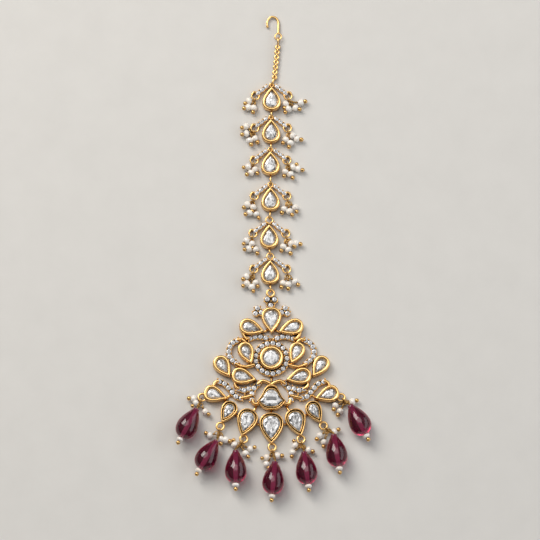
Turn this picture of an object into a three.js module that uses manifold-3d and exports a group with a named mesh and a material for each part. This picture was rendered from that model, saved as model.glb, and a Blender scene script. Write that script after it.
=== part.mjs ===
// Maang tikka: a forehead ornament of soldered gold settings with a fine chain, seed pearls and glass drops.
// It lies on its back. X is across it, +Y runs up the chain to the hair hook, and Z = 0 is what it rests on.
// The origin is the back of the round centre setting. Millimetres.
import * as THREE from 'three';
import { mergeVertices } from 'three/addons/utils/BufferGeometryUtils.js';
import { ParametricGeometry } from 'three/addons/geometries/ParametricGeometry.js';
import Module from 'manifold-3d';

const wasm = await Module();
wasm.setup();

// ---- driving dimensions -------------------------------------------------------------------------

// Setting cups: [distance in from the outline, height] from the foot over the rim and down to the floor.
const CUP_PROFILE = [[0, 0], [0.1, 2.4], [0.5, 3.0], [1.05, 2.3], [1.05, 0.8]];
const STONE_PROFILE = [[1.25, 1.0], [1.25, 2.0], [1.75, 2.5]];
const CUP_SIDES = 12;
const WELD_DISTANCE = 1e-4;

// Pear outlines are widest one third of the length from the round end, where sin(t) sin(t/2) is largest.
const PEAR_FULLNESS = 0.7698;

// Loops, links and eyes are bent from round wire.
const LOOP_HEIGHT = 1.2;
const LOOP_RADIUS = 1.1;
const LOOP_WIRE = 0.32;
const TOP_LOOP_RADIUS = 0.95;
const EYE_RADIUS = 0.85;
const EYE_WIRE = 0.2;
const LINK_WIRE = 0.25;
const LOOP_SIDES = 8;
const LINK_SIDES = 6;
const WIRE_SIDES = 4;
const PIN_SIDES = 3;

// Paved scrolls and the plain gold between them.
const PAVE_WIDTH = 2.1;
const PAVE_HEIGHT = 2.0;
const SCROLL_WIRE_WIDTH = 0.9;
const SCROLL_WIRE_HEIGHT = 2.2;
const SCROLL_STEP = 1.7;
const BRIDGE_WIDTH = 0.9;
const BRIDGE_HEIGHT = 0.7;

// Round centre setting with its paved halo.
const CENTRE_RADIUS = 4.0;
const HALO = { inner: 3.7, outer: 6.15, sides: 20 };

// Bell-shaped setting under the halo. Its curves are pulled to shares of the half width: head at the top,
// waist and foot beside the side points, and toe at the bottom. taper is how much faster it narrows
// than it shortens where the outline moves in.
const BELL = { top: -9.0, shoulder: -14.6, waistY: -13.2, bottom: -17.7, halfWidth: 4.8, taper: 1.5 };
const BELL_PULL = { head: 0.6, waist: 0.52, foot: 0.6, toe: 0.3 };
const BELL_STEPS = 5;

// Trefoils: small discs that carry three stones each.
const TREFOILS = [
  { x: 0, y: 19.2, radius: 2.4 },
  { x: -4.4, y: 16.0, radius: 2.05 },
  { x: 4.4, y: 16.0, radius: 2.05 },
];
const TOP_LOOP = { x: -0.3, y: 22.2 };

// Pear settings of the pendant. turn is the direction of the tip from +X in degrees. The rows with
// mirrored set have a twin on the other side of the centre line.
const PEARS = [
  { name: 'crown', x: 0, y: 12.7, length: 9.0, width: 6.7, turn: -90 },
  { name: 'upper', x: -6.35, y: 10.15, length: 8.7, width: 5.5, turn: -19, mirrored: true },
  { name: 'cheek', x: -8.0, y: 1.45, length: 8.1, width: 5.3, turn: -67, mirrored: true },
  { name: 'outer', x: -15.8, y: -3.1, length: 8.2, width: 5.4, turn: -57, mirrored: true },
  { name: 'lower', x: -8.9, y: -6.5, length: 8.7, width: 5.6, turn: -15, mirrored: true },
  { name: 'wing', x: -18.1, y: -12.6, length: 8.6, width: 5.6, turn: -19, mirrored: true },
  { name: 'hem_outer', x: -14.4, y: -18.5, length: 8.1, width: 5.3, turn: -119, mirrored: true },
  { name: 'hem_inner', x: -8.3, y: -22.0, length: 9.7, width: 6.8, turn: -108, mirrored: true },
  { name: 'hem_middle', x: 0, y: -23.9, length: 10.6, width: 8.0, turn: -90 },
];

// Scrolls on the left half, each a smooth line through a few [x, y] places. Their twins are mirrored.
const PAVED_SCROLLS = [
  [[-7.7, 6.7], [-5.3, 7.2], [-3.4, 7.4], [-1.3, 6.6]],
  [[-11.0, 6.2], [-12.9, 5.1], [-14.0, 2.8], [-13.6, 0.2], [-11.6, -1.8]],
  [[-10.9, -10.3], [-9.0, -10.9], [-7.3, -10.2], [-5.9, -9.9]],
  [[-4.3, -8.6], [-5.7, -10.2], [-6.4, -12.2], [-6.3, -14.4]],
  [[-17.5, -7.7], [-15.4, -8.5], [-13.6, -10.6], [-11.7, -12.9], [-9.8, -13.5]],
];
const PLAIN_SCROLLS = [
  [[-9.5, 8.9], [-9.0, 7.6], [-8.2, 6.6], [-7.2, 6.7]],
  [[-11.2, 6.2], [-9.8, 6.4], [-8.4, 5.4]],
  [[-11.8, -1.8], [-10.5, -2.5], [-8.4, -2.9], [-5.6, -2.2]],
  [[-12.0, -8.6], [-11.8, -9.6], [-10.6, -10.4]],
  [[0, -8.9], [-1.5, -8.0], [-3.1, -7.7], [-4.6, -8.8]],
  [[-6.3, -14.0], [-5.8, -15.4], [-4.2, -15.4]],
  [[-19.2, -9.8], [-18.6, -8.3], [-17.4, -7.7]],
  [[-10.0, -13.5], [-8.4, -13.2], [-6.3, -12.6]],
];

// Low solder bridges on the left half, from one [x, y] place to another.
const BRIDGES = [
  [[0, 6.6], [-1.6, 7.0]],
  [[-2.9, 9.0], [-1.0, 9.9]],
  [[-0.8, 6.8], [0, 4.5]],
  [[-5.2, 8.4], [-5.2, 7.2]],
  [[0, -5.5], [0, -9.6]],
  [[-12.7, -6.4], [-14.0, -5.6]],
  [[-15.4, -1.2], [-13.6, 0.4]],
  [[-5.6, -7.4], [-4.4, -8.4]],
  [[-8.6, -10.4], [-8.8, -13.4]],
  [[-12.7, -11.9], [-15.2, -13.4]],
  [[-15.6, -13.6], [-13.9, -16.2]],
  [[-12.2, -18.2], [-9.8, -20.8]],
  [[-5.4, -22.0], [-3.2, -22.4]],
  [[-4.6, -15.4], [-6.6, -19.2]],
  [[0, -17.6], [0, -19.4]],
];

// Stations up the chain, each centred on its pear setting.
const STATIONS = [
  { x: 0.1, y: 88.7 },
  { x: -0.1, y: 77.6 },
  { x: -0.3, y: 66.5 },
  { x: -0.3, y: 54.2 },
  { x: -0.7, y: 41.4 },
  { x: -0.4, y: 29.2 },
];
const STATION_PEAR = { length: 8.2, width: 6.2, turn: 90 };
const STATION_TIP = STATION_PEAR.length / 2;
const STATION_LOOP_Y = STATION_TIP + 1.2;
const STATION_LINK_FOOT = -STATION_TIP - 0.05;
const WING_WIDTH = 1.5;
const WING = [[-0.9, 4.7], [-1.9, 4.3], [-3.2, 3.2], [-4.5, 2.1]];
const WING_SOLDER = [[-2.6, 3.6], [-1.4, 2.2]];
const WING_TAIL = [[-4.3, 2.5], [-5.2, 2.2], [-6.2, 1.8]];
const WING_RING = { x: 5.4, y: 1.2 };

// Seed pearls of each bunch: bearing from the wing ring in degrees and distance from it. The eye that they
// hang from leans outward from straight down.
const SEED_PEARL_RADIUS = 1.15;
const EYE_LEAN = 12;
const PEARL_BUNCHES = [
  { station: 1, side: 'left', pearls: [[220, 2.8], [262, 4.2], [240, 4.6]] },
  { station: 1, side: 'right', pearls: [[255, 2.9], [272, 4.6], [301, 4.8], [331, 4.9]] },
  { station: 2, side: 'left', pearls: [[168, 2.9], [214, 3.3], [248, 4.6], [272, 3.6]] },
  { station: 2, side: 'right', pearls: [[262, 4.0], [304, 3.1], [281, 5.2], [310, 4.9]] },
  { station: 3, side: 'left', pearls: [[228, 3.0], [256, 4.4], [276, 3.2]] },
  { station: 3, side: 'right', pearls: [[262, 4.0], [311, 3.2], [284, 4.9], [322, 4.8]] },
  { station: 4, side: 'left', pearls: [[232, 3.7], [266, 3.8], [256, 5.9], [277, 6.2]] },
  { station: 4, side: 'right', pearls: [[258, 4.5], [279, 5.3], [306, 4.8]] },
  { station: 5, side: 'left', pearls: [[229, 3.2], [266, 3.5], [256, 5.4], [280, 5.5]] },
  { station: 5, side: 'right', pearls: [[259, 4.6], [297, 3.9], [279, 5.6], [315, 4.8]] },
  { station: 6, side: 'left', pearls: [[226, 3.4], [245, 5.4], [264, 6.1], [277, 4.6]] },
  { station: 6, side: 'right', pearls: [[256, 4.9], [276, 5.2], [303, 5.1]] },
];

// Drops: the loop they hang on, the narrow top of the bead, the bearing of the bead's axis, and the
// bearing and distance of the seed pearls about the loop.
const DROPS = [
  { loop: [-22.8, -13.2], top: [-24.5, -17.7], bearing: 242, pearls: [[188, 2.8], [222, 2.8], [282, 4.9]] },
  { loop: [-16.8, -23.0], top: [-18.0, -28.5], bearing: 240, pearls: [[222, 4.6], [272, 4.4], [291, 4.9]] },
  { loop: [-9.1, -27.3], top: [-11.7, -31.8], bearing: 270, pearls: [[212, 3.6], [276, 4.9], [303, 4.0]] },
  { loop: [0.2, -30.1], top: [1.2, -35.6], bearing: 265, pearls: [[243, 3.9], [252, 6.0], [302, 3.4]] },
  { loop: [9.7, -27.4], top: [10.7, -32.3], bearing: 277, pearls: [[238, 5.2], [304, 4.4], [226, 2.9]] },
  { loop: [17.1, -22.8], top: [20.4, -26.4], bearing: 279, pearls: [[330, 4.2], [272, 5.6], [250, 3.6]] },
  { loop: [22.9, -13.2], top: [25.9, -16.5], bearing: 297, pearls: [[338, 4.0], [235, 3.3], [266, 4.7]] },
];
const BEAD = { length: 10.7, width: 7.3, bore: 0.6, lip: 1.05, axisHeight: 3.66, sides: 10, bands: 5 };
const BEAD_SPAN = { tip: 0.55, end: 2.85 };
const PIN = { radius: 0.3, neck: 0.6, pearlGap: 0.3, ballOffset: 1.5, ballRadius: 0.6 };

// Chain, from the first station's loop to the hook's eye.
const CHAIN = { radius: 0.95, height: 1.0, sides: 8, steps: 10 };
const CHAIN_ROUTE = [[1.05, 96.4], [1.25, 98.6], [1.55, 101.6], [1.85, 104.8], [2.15, 107.6]];
const HOOK_EYE = { x: 2.25, y: 110.4 };
const HOOK_WIRE = { radius: 0.42, sides: 6, steps: 14 };
const HOOK_ROUTE = [
  [2.25, 111.5, 1.1], [2.25, 113.4, 0.9], [2.3, 115.2, 0.8], [1.6, 116.9, 0.8], [-0.1, 117.3, 0.8],
  [-1.3, 115.9, 0.8], [-1.35, 114.0, 0.8],
];

const GOLD = { color: 0xd8a24a, roughness: 0.35, metalness: 1 };
const STONE = { color: 0xdfe1e0, roughness: 0.15, metalness: 0 };
const PEARL = { color: 0xe9e2d3, roughness: 0.35, metalness: 0 };
const RUBY = { color: 0x8c1038, roughness: 0.08, metalness: 0 };

// ---- geometry helpers ---------------------------------------------------------------------------

const rad = THREE.MathUtils.degToRad;

// A closed solid from a three.js geometry.
function solidOf(geometry) {
  const bare = geometry.clone();
  for (const name of Object.keys(bare.attributes)) {
    if (name !== 'position') bare.deleteAttribute(name);
  }
  const merged = mergeVertices(bare, WELD_DISTANCE);
  return new wasm.Manifold(new wasm.Mesh({
    numProp: 3,
    vertProperties: new Float32Array(merged.attributes.position.array),
    triVerts: new Uint32Array(merged.index.array),
  }));
}

function geometryOf(solid) {
  const mesh = solid.getMesh();
  const geometry = new THREE.BufferGeometry();
  geometry.setAttribute('position', new THREE.BufferAttribute(mesh.vertProperties, 3));
  geometry.setIndex(new THREE.BufferAttribute(mesh.triVerts, 1));
  return geometry;
}

// Several geometries soldered into one.
function solder(geometries) {
  return geometryOf(geometries.map(solidOf).reduce((whole, next) => whole.add(next)));
}

// The point at a bearing (degrees from +X) and distance from [x, y].
function polar([x, y], bearing, distance) {
  return [x + distance * Math.cos(rad(bearing)), y + distance * Math.sin(rad(bearing))];
}

const mirrorPoints = (points) => points.map(([x, y]) => [-x, y]);

// A pear outline with its tip along +X, moved in by inset all round.
function pearOutline(length, width, inset) {
  const halfTipAngle = Math.atan2(width, PEAR_FULLNESS * length);
  const innerLength = length - inset - inset / Math.sin(halfTipAngle);
  const innerWidth = width - 2 * inset;
  const centre = (innerLength - length) / 2 + inset;
  return Array.from({ length: CUP_SIDES }, (_, k) => {
    const t = (k / CUP_SIDES) * 2 * Math.PI;
    const half = innerWidth / 2 / PEAR_FULLNESS;
    return new THREE.Vector2(centre + (innerLength / 2) * Math.cos(t), half * Math.sin(t) * Math.sin(t / 2));
  });
}

function circleOutline(radius, sides) {
  return Array.from({ length: sides }, (_, k) => {
    const t = (k / sides) * 2 * Math.PI;
    return new THREE.Vector2(radius * Math.cos(t), radius * Math.sin(t));
  });
}

const centreOutline = (inset) => circleOutline(CENTRE_RADIUS - inset, CUP_SIDES);

// The bell outline: concave flanks from a round head to two side points, and a round foot.
function bellOutline(inset) {
  const side = BELL.halfWidth - BELL.taper * inset;
  const top = BELL.top - inset;
  const bottom = BELL.bottom + inset;
  const { head, waist, foot, toe } = BELL_PULL;
  const shape = new THREE.Shape();
  shape.moveTo(side, BELL.shoulder);
  shape.bezierCurveTo(waist * side, BELL.waistY, head * side, top, 0, top);
  shape.bezierCurveTo(-head * side, top, -waist * side, BELL.waistY, -side, BELL.shoulder);
  shape.bezierCurveTo(-foot * side, bottom, -toe * side, bottom, 0, bottom);
  shape.bezierCurveTo(toe * side, bottom, foot * side, bottom, side, BELL.shoulder);
  return shape.getPoints(BELL_STEPS).slice(0, -1);
}

// A closed solid through outlines of equal point count, given counterclockwise from the foot up.
function lofted(sections) {
  const count = sections[0].outline.length;
  const positions = sections.flatMap(({ outline, z }) => outline.flatMap((p) => [p.x, p.y, z]));
  const index = [];
  const last = (sections.length - 1) * count;
  for (const [a, b, c] of THREE.ShapeUtils.triangulateShape(sections[0].outline, [])) index.push(c, b, a);
  for (const [a, b, c] of THREE.ShapeUtils.triangulateShape(sections.at(-1).outline, [])) {
    index.push(last + a, last + b, last + c);
  }
  for (let ring = 0; ring < sections.length - 1; ring += 1) {
    for (let k = 0; k < count; k += 1) {
      const near = ring * count + k;
      const next = ring * count + ((k + 1) % count);
      index.push(near, next, next + count, near, next + count, near + count);
    }
  }
  const geometry = new THREE.BufferGeometry();
  geometry.setAttribute('position', new THREE.Float32BufferAttribute(positions, 3));
  geometry.setIndex(index);
  return geometry;
}

const loftedProfile = (profile, outlineAt) =>
  lofted(profile.map(([inset, z]) => ({ outline: outlineAt(inset), z })));

// A ring of wire lying flat, oval when its half axes differ.
function wireRing(halfX, halfY, wire, sides) {
  return new ParametricGeometry((u, v, target) => {
    const along = u * 2 * Math.PI;
    const around = (v + 0.5 / WIRE_SIDES) * 2 * Math.PI;
    const outward = new THREE.Vector2(halfY * Math.cos(along), halfX * Math.sin(along)).normalize();
    const out = wire * Math.cos(around);
    target.set(
      halfX * Math.cos(along) + out * outward.x,
      halfY * Math.sin(along) + out * outward.y,
      wire * Math.sin(around),
    );
  }, sides, WIRE_SIDES);
}

// A flat loop at [x, y].
const flatLoop = (x, y, radius) =>
  wireRing(radius, radius, LOOP_WIRE, LOOP_SIDES).translate(x, y, LOOP_HEIGHT);

// An upright link that runs from one [x, y] place to another.
function uprightLink([fromX, fromY], [toX, toY]) {
  return wireRing(Math.hypot(toX - fromX, toY - fromY) / 2, EYE_RADIUS, LINK_WIRE, LINK_SIDES)
    .rotateX(Math.PI / 2)
    .rotateZ(Math.atan2(toY - fromY, toX - fromX))
    .translate((fromX + toX) / 2, (fromY + toY) / 2, LOOP_HEIGHT);
}

// The eye of a pin: an upright ring round the wire of a flat loop, on the side that it hangs to.
function pinEye(loop, bearing) {
  const [x, y] = polar(loop, bearing, LOOP_RADIUS);
  return wireRing(EYE_RADIUS, EYE_RADIUS, EYE_WIRE, LINK_SIDES)
    .rotateX(Math.PI / 2)
    .rotateZ(rad(bearing))
    .translate(x, y, LOOP_HEIGHT);
}

// A straight wire between two [x, y, z] places.
function rod(from, to, radius) {
  const start = new THREE.Vector3(...from);
  const along = new THREE.Vector3(...to).sub(start);
  const up = new THREE.Vector3(0, 1, 0);
  const turn = new THREE.Quaternion().setFromUnitVectors(up, along.clone().normalize());
  return new THREE.CylinderGeometry(radius, radius, along.length(), PIN_SIDES)
    .applyQuaternion(turn)
    .translate(...start.addScaledVector(along, 0.5).toArray());
}

// A round tube along a smooth line through [x, y, z] places.
function tube(points, radius, sides, steps) {
  return new THREE.ExtrudeGeometry(new THREE.Shape(circleOutline(radius, sides)), {
    extrudePath: new THREE.CatmullRomCurve3(points.map((p) => new THREE.Vector3(...p))),
    steps,
    bevelEnabled: false,
  });
}

// A flat-topped strip of constant width along a smooth line through [x, y] places.
function strip(points, width, height) {
  const line = new THREE.CatmullRomCurve3(points.map(([x, y]) => new THREE.Vector3(x, y, 0)));
  const count = Math.max(2, Math.round(line.getLength() / SCROLL_STEP));
  const edge = (side) => Array.from({ length: count + 1 }, (_, k) => {
    const place = line.getPointAt(k / count);
    const tangent = line.getTangentAt(k / count);
    return new THREE.Vector2(place.x - side * tangent.y, place.y + side * tangent.x);
  });
  const shape = new THREE.Shape([...edge(-width / 2), ...edge(width / 2).reverse()]);
  return new THREE.ExtrudeGeometry(shape, { depth: height, bevelEnabled: false });
}

const disc = (x, y, radius, height) =>
  lofted([0, height].map((z) => ({ outline: circleOutline(radius, CUP_SIDES), z }))).translate(x, y, 0);

const seedPearl = ([x, y], z) => new THREE.IcosahedronGeometry(SEED_PEARL_RADIUS).translate(x, y, z);

// ---- pieces -------------------------------------------------------------------------------------

const placedPear = (geometry, { x, y, turn }) => geometry.rotateZ(rad(turn)).translate(x, y, 0);

const pearCup = (row) =>
  placedPear(loftedProfile(CUP_PROFILE, (inset) => pearOutline(row.length, row.width, inset)), row);

const pearStone = (row) =>
  placedPear(loftedProfile(STONE_PROFILE, (inset) => pearOutline(row.length, row.width, inset)), row);

// Seed pearls about a loop, each on a short wire from the loop's eye.
function pearlBunch(loop, pearls, eyeBearing) {
  const foot = polar(loop, eyeBearing, LOOP_RADIUS + EYE_RADIUS);
  const pieces = [pinEye(loop, eyeBearing)];
  for (const [bearing, distance] of pearls) {
    const centre = polar(loop, bearing, distance);
    pieces.push(rod([...foot, LOOP_HEIGHT], [...centre, SEED_PEARL_RADIUS], EYE_WIRE));
    pieces.push(seedPearl(centre, SEED_PEARL_RADIUS));
  }
  return pieces;
}

// Station frame: pear cup, paved wings with a ring under each end, top loop, link to the next piece down.
function stationFrame(station, nextLoop) {
  const pieces = [pearCup({ ...STATION_PEAR, x: 0, y: 0 })];
  for (const side of [1, -1]) {
    const turned = (points) => (side === 1 ? points : mirrorPoints(points));
    pieces.push(strip(turned(WING), WING_WIDTH, PAVE_HEIGHT));
    pieces.push(strip(turned(WING_TAIL), SCROLL_WIRE_WIDTH, PAVE_HEIGHT));
    pieces.push(strip(turned(WING_SOLDER), BRIDGE_WIDTH, BRIDGE_HEIGHT));
    pieces.push(flatLoop(-side * WING_RING.x, WING_RING.y, LOOP_RADIUS));
  }
  pieces.push(flatLoop(0, STATION_LOOP_Y, TOP_LOOP_RADIUS));
  const linkFoot = [nextLoop.x - station.x, nextLoop.y + TOP_LOOP_RADIUS - EYE_RADIUS - station.y];
  pieces.push(uprightLink(linkFoot, [0, STATION_LINK_FOOT]));
  return solder(pieces).translate(station.x, station.y, 0);
}

// Pendant frame: every setting, scroll and loop, soldered as one.
function pendantFrame(pears) {
  const pieces = pears.map(pearCup);
  pieces.push(loftedProfile(CUP_PROFILE, centreOutline));
  pieces.push(loftedProfile(CUP_PROFILE, bellOutline));
  pieces.push(new THREE.LatheGeometry(
    [[HALO.inner, 0], [HALO.outer, 0], [HALO.outer, PAVE_HEIGHT], [HALO.inner, PAVE_HEIGHT], [HALO.inner, 0]]
      .map(([radius, z]) => new THREE.Vector2(radius, z)),
    HALO.sides,
  ).rotateX(Math.PI / 2));
  for (const half of [(points) => points, mirrorPoints]) {
    pieces.push(...PAVED_SCROLLS.map((line) => strip(half(line), PAVE_WIDTH, PAVE_HEIGHT)));
    pieces.push(...PLAIN_SCROLLS.map((line) => strip(half(line), SCROLL_WIRE_WIDTH, SCROLL_WIRE_HEIGHT)));
    pieces.push(...BRIDGES.map((line) => strip(half(line), BRIDGE_WIDTH, BRIDGE_HEIGHT)));
  }
  pieces.push(...TREFOILS.map(({ x, y, radius }) => disc(x, y, radius, PAVE_HEIGHT)));
  pieces.push(flatLoop(TOP_LOOP.x, TOP_LOOP.y, LOOP_RADIUS));
  pieces.push(...DROPS.map(({ loop: [x, y] }) => flatLoop(x, y, LOOP_RADIUS)));
  return solder(pieces);
}

// Drop-shaped bead along +Z from its narrow top at the origin, drilled through.
function beadShape() {
  const start = Math.cos(BEAD_SPAN.tip);
  const end = Math.cos(BEAD_SPAN.end);
  const profile = [new THREE.Vector2(BEAD.bore, 0)];
  for (let band = 0; band <= BEAD.bands; band += 1) {
    const t = THREE.MathUtils.lerp(BEAD_SPAN.tip, BEAD_SPAN.end, band / BEAD.bands);
    const radius = (BEAD.width / 2 / PEAR_FULLNESS) * Math.sin(t) * Math.sin(t / 2);
    const distance = BEAD.length * (start - Math.cos(t)) / (start - end);
    profile.push(new THREE.Vector2(Math.max(radius, BEAD.lip), distance));
  }
  profile.push(new THREE.Vector2(BEAD.bore, BEAD.length));
  profile.push(profile[0].clone());
  return new THREE.LatheGeometry(profile, BEAD.sides).rotateX(Math.PI / 2);
}

function beadOf({ top, bearing }) {
  return beadShape().rotateY(Math.PI / 2).rotateZ(rad(bearing)).translate(top[0], top[1], BEAD.axisHeight);
}

// The pin of a drop: eye and bunch of seed pearls at the loop, shank through the bead, end pearl, ball.
function dropPin({ loop, top, bearing, pearls }) {
  const toBead = THREE.MathUtils.radToDeg(Math.atan2(top[1] - loop[1], top[0] - loop[0]));
  const foot = polar(loop, toBead, LOOP_RADIUS + EYE_RADIUS);
  const neck = polar(top, bearing, -PIN.neck);
  const pearlPlace = polar(top, bearing, BEAD.length + SEED_PEARL_RADIUS + PIN.pearlGap);
  const endBall = polar(pearlPlace, bearing, PIN.ballOffset);
  return solder([
    ...pearlBunch(loop, pearls, toBead),
    rod([...foot, LOOP_HEIGHT], [...neck, BEAD.axisHeight], PIN.radius),
    rod([...neck, BEAD.axisHeight], [...endBall, BEAD.axisHeight], PIN.radius),
    seedPearl(pearlPlace, BEAD.axisHeight),
    new THREE.OctahedronGeometry(PIN.ballRadius).translate(...endBall, BEAD.axisHeight),
  ]);
}

// ---- the assembly -------------------------------------------------------------------------------

const tikka = new THREE.Group();

function addPiece(name, geometry, finish) {
  const piece = new THREE.Mesh(geometry, new THREE.MeshStandardMaterial(finish));
  piece.name = name;
  tikka.add(piece);
}

const firstLoop = { x: STATIONS[0].x, y: STATIONS[0].y + STATION_LOOP_Y };

addPiece('hair_hook', solder([
  flatLoop(HOOK_EYE.x, HOOK_EYE.y, LOOP_RADIUS),
  tube(HOOK_ROUTE, HOOK_WIRE.radius, HOOK_WIRE.sides, HOOK_WIRE.steps),
]), GOLD);

const chainStart = CHAIN_ROUTE[0];
const chainEnd = CHAIN_ROUTE.at(-1);
addPiece('chain', solder([
  tube(CHAIN_ROUTE.map(([x, y]) => [x, y, CHAIN.height]), CHAIN.radius, CHAIN.sides, CHAIN.steps),
  uprightLink([firstLoop.x, firstLoop.y + TOP_LOOP_RADIUS - EYE_RADIUS], chainStart),
  uprightLink(chainEnd, [HOOK_EYE.x, HOOK_EYE.y - LOOP_RADIUS + EYE_RADIUS]),
]), GOLD);

STATIONS.forEach((station, k) => {
  const next = STATIONS[k + 1];
  const nextLoop = next ? { x: next.x, y: next.y + STATION_LOOP_Y } : TOP_LOOP;
  addPiece(`station_${k + 1}_frame`, stationFrame(station, nextLoop), GOLD);
  addPiece(`station_${k + 1}_stone`, pearStone({ ...STATION_PEAR, ...station }), STONE);
});

for (const { station, side, pearls } of PEARL_BUNCHES) {
  const { x, y } = STATIONS[station - 1];
  const sign = side === 'left' ? -1 : 1;
  const ring = [x + sign * WING_RING.x, y + WING_RING.y];
  const bunch = solder(pearlBunch(ring, pearls, 270 + sign * EYE_LEAN));
  addPiece(`station_${station}_pearls_${side}`, bunch, PEARL);
}

const twins = (row) => [
  { ...row, name: `${row.name}_left` },
  { ...row, name: `${row.name}_right`, x: -row.x, turn: 180 - row.turn },
];
const pears = PEARS.flatMap((row) => (row.mirrored ? twins(row) : [row]));
addPiece('pendant_frame', pendantFrame(pears), GOLD);
for (const row of pears) addPiece(`stone_${row.name}`, pearStone(row), STONE);
addPiece('stone_centre', loftedProfile(STONE_PROFILE, centreOutline), STONE);
addPiece('stone_bell', loftedProfile(STONE_PROFILE, bellOutline), STONE);

DROPS.forEach((drop, k) => {
  addPiece(`drop_${k + 1}_pin`, dropPin(drop), PEARL);
  addPiece(`drop_${k + 1}_bead`, beadOf(drop), RUBY);
});

export default tikka;
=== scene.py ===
"""Maang tikka: the looks of the ornament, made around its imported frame.

Sizes in the tables are in millimetres, and every mesh is written in metres. X runs across the ornament,
+Y up the chain to the hair hook, and +Z out of its front.
"""

import functools
import math
import random
from collections import namedtuple

import bpy
from bpy.props import FloatProperty, FloatVectorProperty, IntProperty, PointerProperty
from mathutils import Matrix, Vector


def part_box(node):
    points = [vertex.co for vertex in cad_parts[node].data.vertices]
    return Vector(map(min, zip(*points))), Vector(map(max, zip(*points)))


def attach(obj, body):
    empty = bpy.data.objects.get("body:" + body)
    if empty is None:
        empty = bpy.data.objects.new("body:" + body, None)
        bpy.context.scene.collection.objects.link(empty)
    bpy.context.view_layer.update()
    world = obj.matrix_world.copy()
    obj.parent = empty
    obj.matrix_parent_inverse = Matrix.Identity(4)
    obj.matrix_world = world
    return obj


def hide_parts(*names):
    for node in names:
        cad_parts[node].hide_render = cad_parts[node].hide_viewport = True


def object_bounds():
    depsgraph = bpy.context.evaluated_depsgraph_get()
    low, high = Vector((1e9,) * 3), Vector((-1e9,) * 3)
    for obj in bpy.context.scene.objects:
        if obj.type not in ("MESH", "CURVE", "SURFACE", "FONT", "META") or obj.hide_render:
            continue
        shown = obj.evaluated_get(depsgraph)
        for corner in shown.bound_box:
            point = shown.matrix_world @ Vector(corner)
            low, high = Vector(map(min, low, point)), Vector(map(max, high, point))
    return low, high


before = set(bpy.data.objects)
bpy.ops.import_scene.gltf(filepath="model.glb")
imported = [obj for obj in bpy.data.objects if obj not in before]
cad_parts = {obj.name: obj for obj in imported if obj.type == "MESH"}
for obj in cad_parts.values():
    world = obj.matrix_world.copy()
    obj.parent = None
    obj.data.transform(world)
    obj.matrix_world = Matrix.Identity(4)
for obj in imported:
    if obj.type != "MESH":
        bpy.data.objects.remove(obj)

CAD_BOX = [[float(value) for value in corner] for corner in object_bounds()]

bl_info = {
    "name": "Maang Tikka Workshop",
    "version": (1, 0, 0),
    "blender": (4, 5, 0),
    "location": "View3D > Sidebar > Tikka",
    "description": "Makes the settings, stones, pearls, drops and stage of a maang tikka",
    "category": "Object",
}

MM = 0.001
TURN = 2 * math.pi
LINE_STEP = 0.25
BODY = "root"

# --- Tables, in millimetres and degrees ---

# Rim sections: how far in from the outline, and how high, from the foot over the rim to the stone.
ROLLED_RIM = (
    (0.05, 0.0), (0.0, 0.12), (0.0, 2.2), (0.03, 2.5), (0.12, 2.73), (0.27, 2.88), (0.47, 2.95), (0.7, 2.94),
    (0.9, 2.87), (1.04, 2.74), (1.13, 2.57), (1.19, 2.4), (1.24, 2.2), (1.27, 2.0), (1.28, 1.7), (1.29, 1.4),
)
DOUBLE_RIM = (
    (0.05, 0.0), (0.0, 0.12), (0.0, 2.4), (0.04, 2.68), (0.13, 2.88), (0.27, 2.96), (0.4, 2.9), (0.5, 2.68),
    (0.55, 2.35), (0.58, 2.0), (0.78, 2.0), (0.81, 2.35), (0.86, 2.52), (0.94, 2.58), (1.03, 2.52),
    (1.09, 2.35), (1.12, 1.9), (1.13, 1.4),
)
# The faces of the double rim's groove, which take the dark finish as painted shade.
GROOVE = (8, 9, 10)

# The rims of a setting: their section, and how much of its width they take.
RIM_SHARES = {
    "rolled": (ROLLED_RIM, 1.0),
    "soft": (ROLLED_RIM, 0.92),
    "slim": (ROLLED_RIM, 0.8),
    "double": (DOUBLE_RIM, 1.0),
}
RIMS = {
    name: tuple((share * inset, height) for inset, height in section)
    for name, (section, share) in RIM_SHARES.items()
}

# A stone's edge runs a little way under its rim.
STONE_EDGES = {name: rim[-1][0] - 0.09 for name, rim in RIMS.items()}
CAD_STONE_INSET = 1.25

# Pear settings. turn is the bearing of the tip, pinch draws the tip in, and twin rows are mirrored.
Setting = namedtuple("Setting", "name length width turn pinch rim cut twin")
SETTINGS = (
    Setting("crown", 9.0, 6.7, -90, 1.0, "slim", "rose", False),
    Setting("upper", 8.7, 5.5, -19, 1.0, "soft", "rose", True),
    Setting("cheek", 8.1, 5.3, -67, 1.0, "soft", "rose", True),
    Setting("outer", 8.2, 5.4, -57, 1.0, "soft", "rose", True),
    Setting("lower", 8.7, 5.6, -15, 1.1, "soft", "rose", True),
    Setting("wing", 8.6, 5.6, -19, 1.4, "soft", "rose", True),
    Setting("hem_outer", 8.1, 5.3, -119, 1.0, "double", "brilliant", True),
    Setting("hem_inner", 9.7, 6.8, -108, 1.0, "double", "brilliant", True),
    Setting("hem_middle", 10.6, 8.0, -90, 1.0, "double", "brilliant", False),
)
STATION_SETTING = Setting("station", 8.2, 6.2, 90, 1.0, "slim", "rose", False)
STATIONS = 6
CENTRE_RADIUS = 4.0

# The bell: its heights and half width, and how fast its sides and crown draw in with the inset.
BELL = {
    "top": -9.0, "shoulder": -14.6, "waist_y": -13.2, "bottom": -17.7, "half_width": 4.8, "taper": 0.9,
    "crown": 1.6,
}
BELL_PULL = {"head": 0.6, "waist": 0.52, "foot": 0.6, "toe": 0.3}

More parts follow.
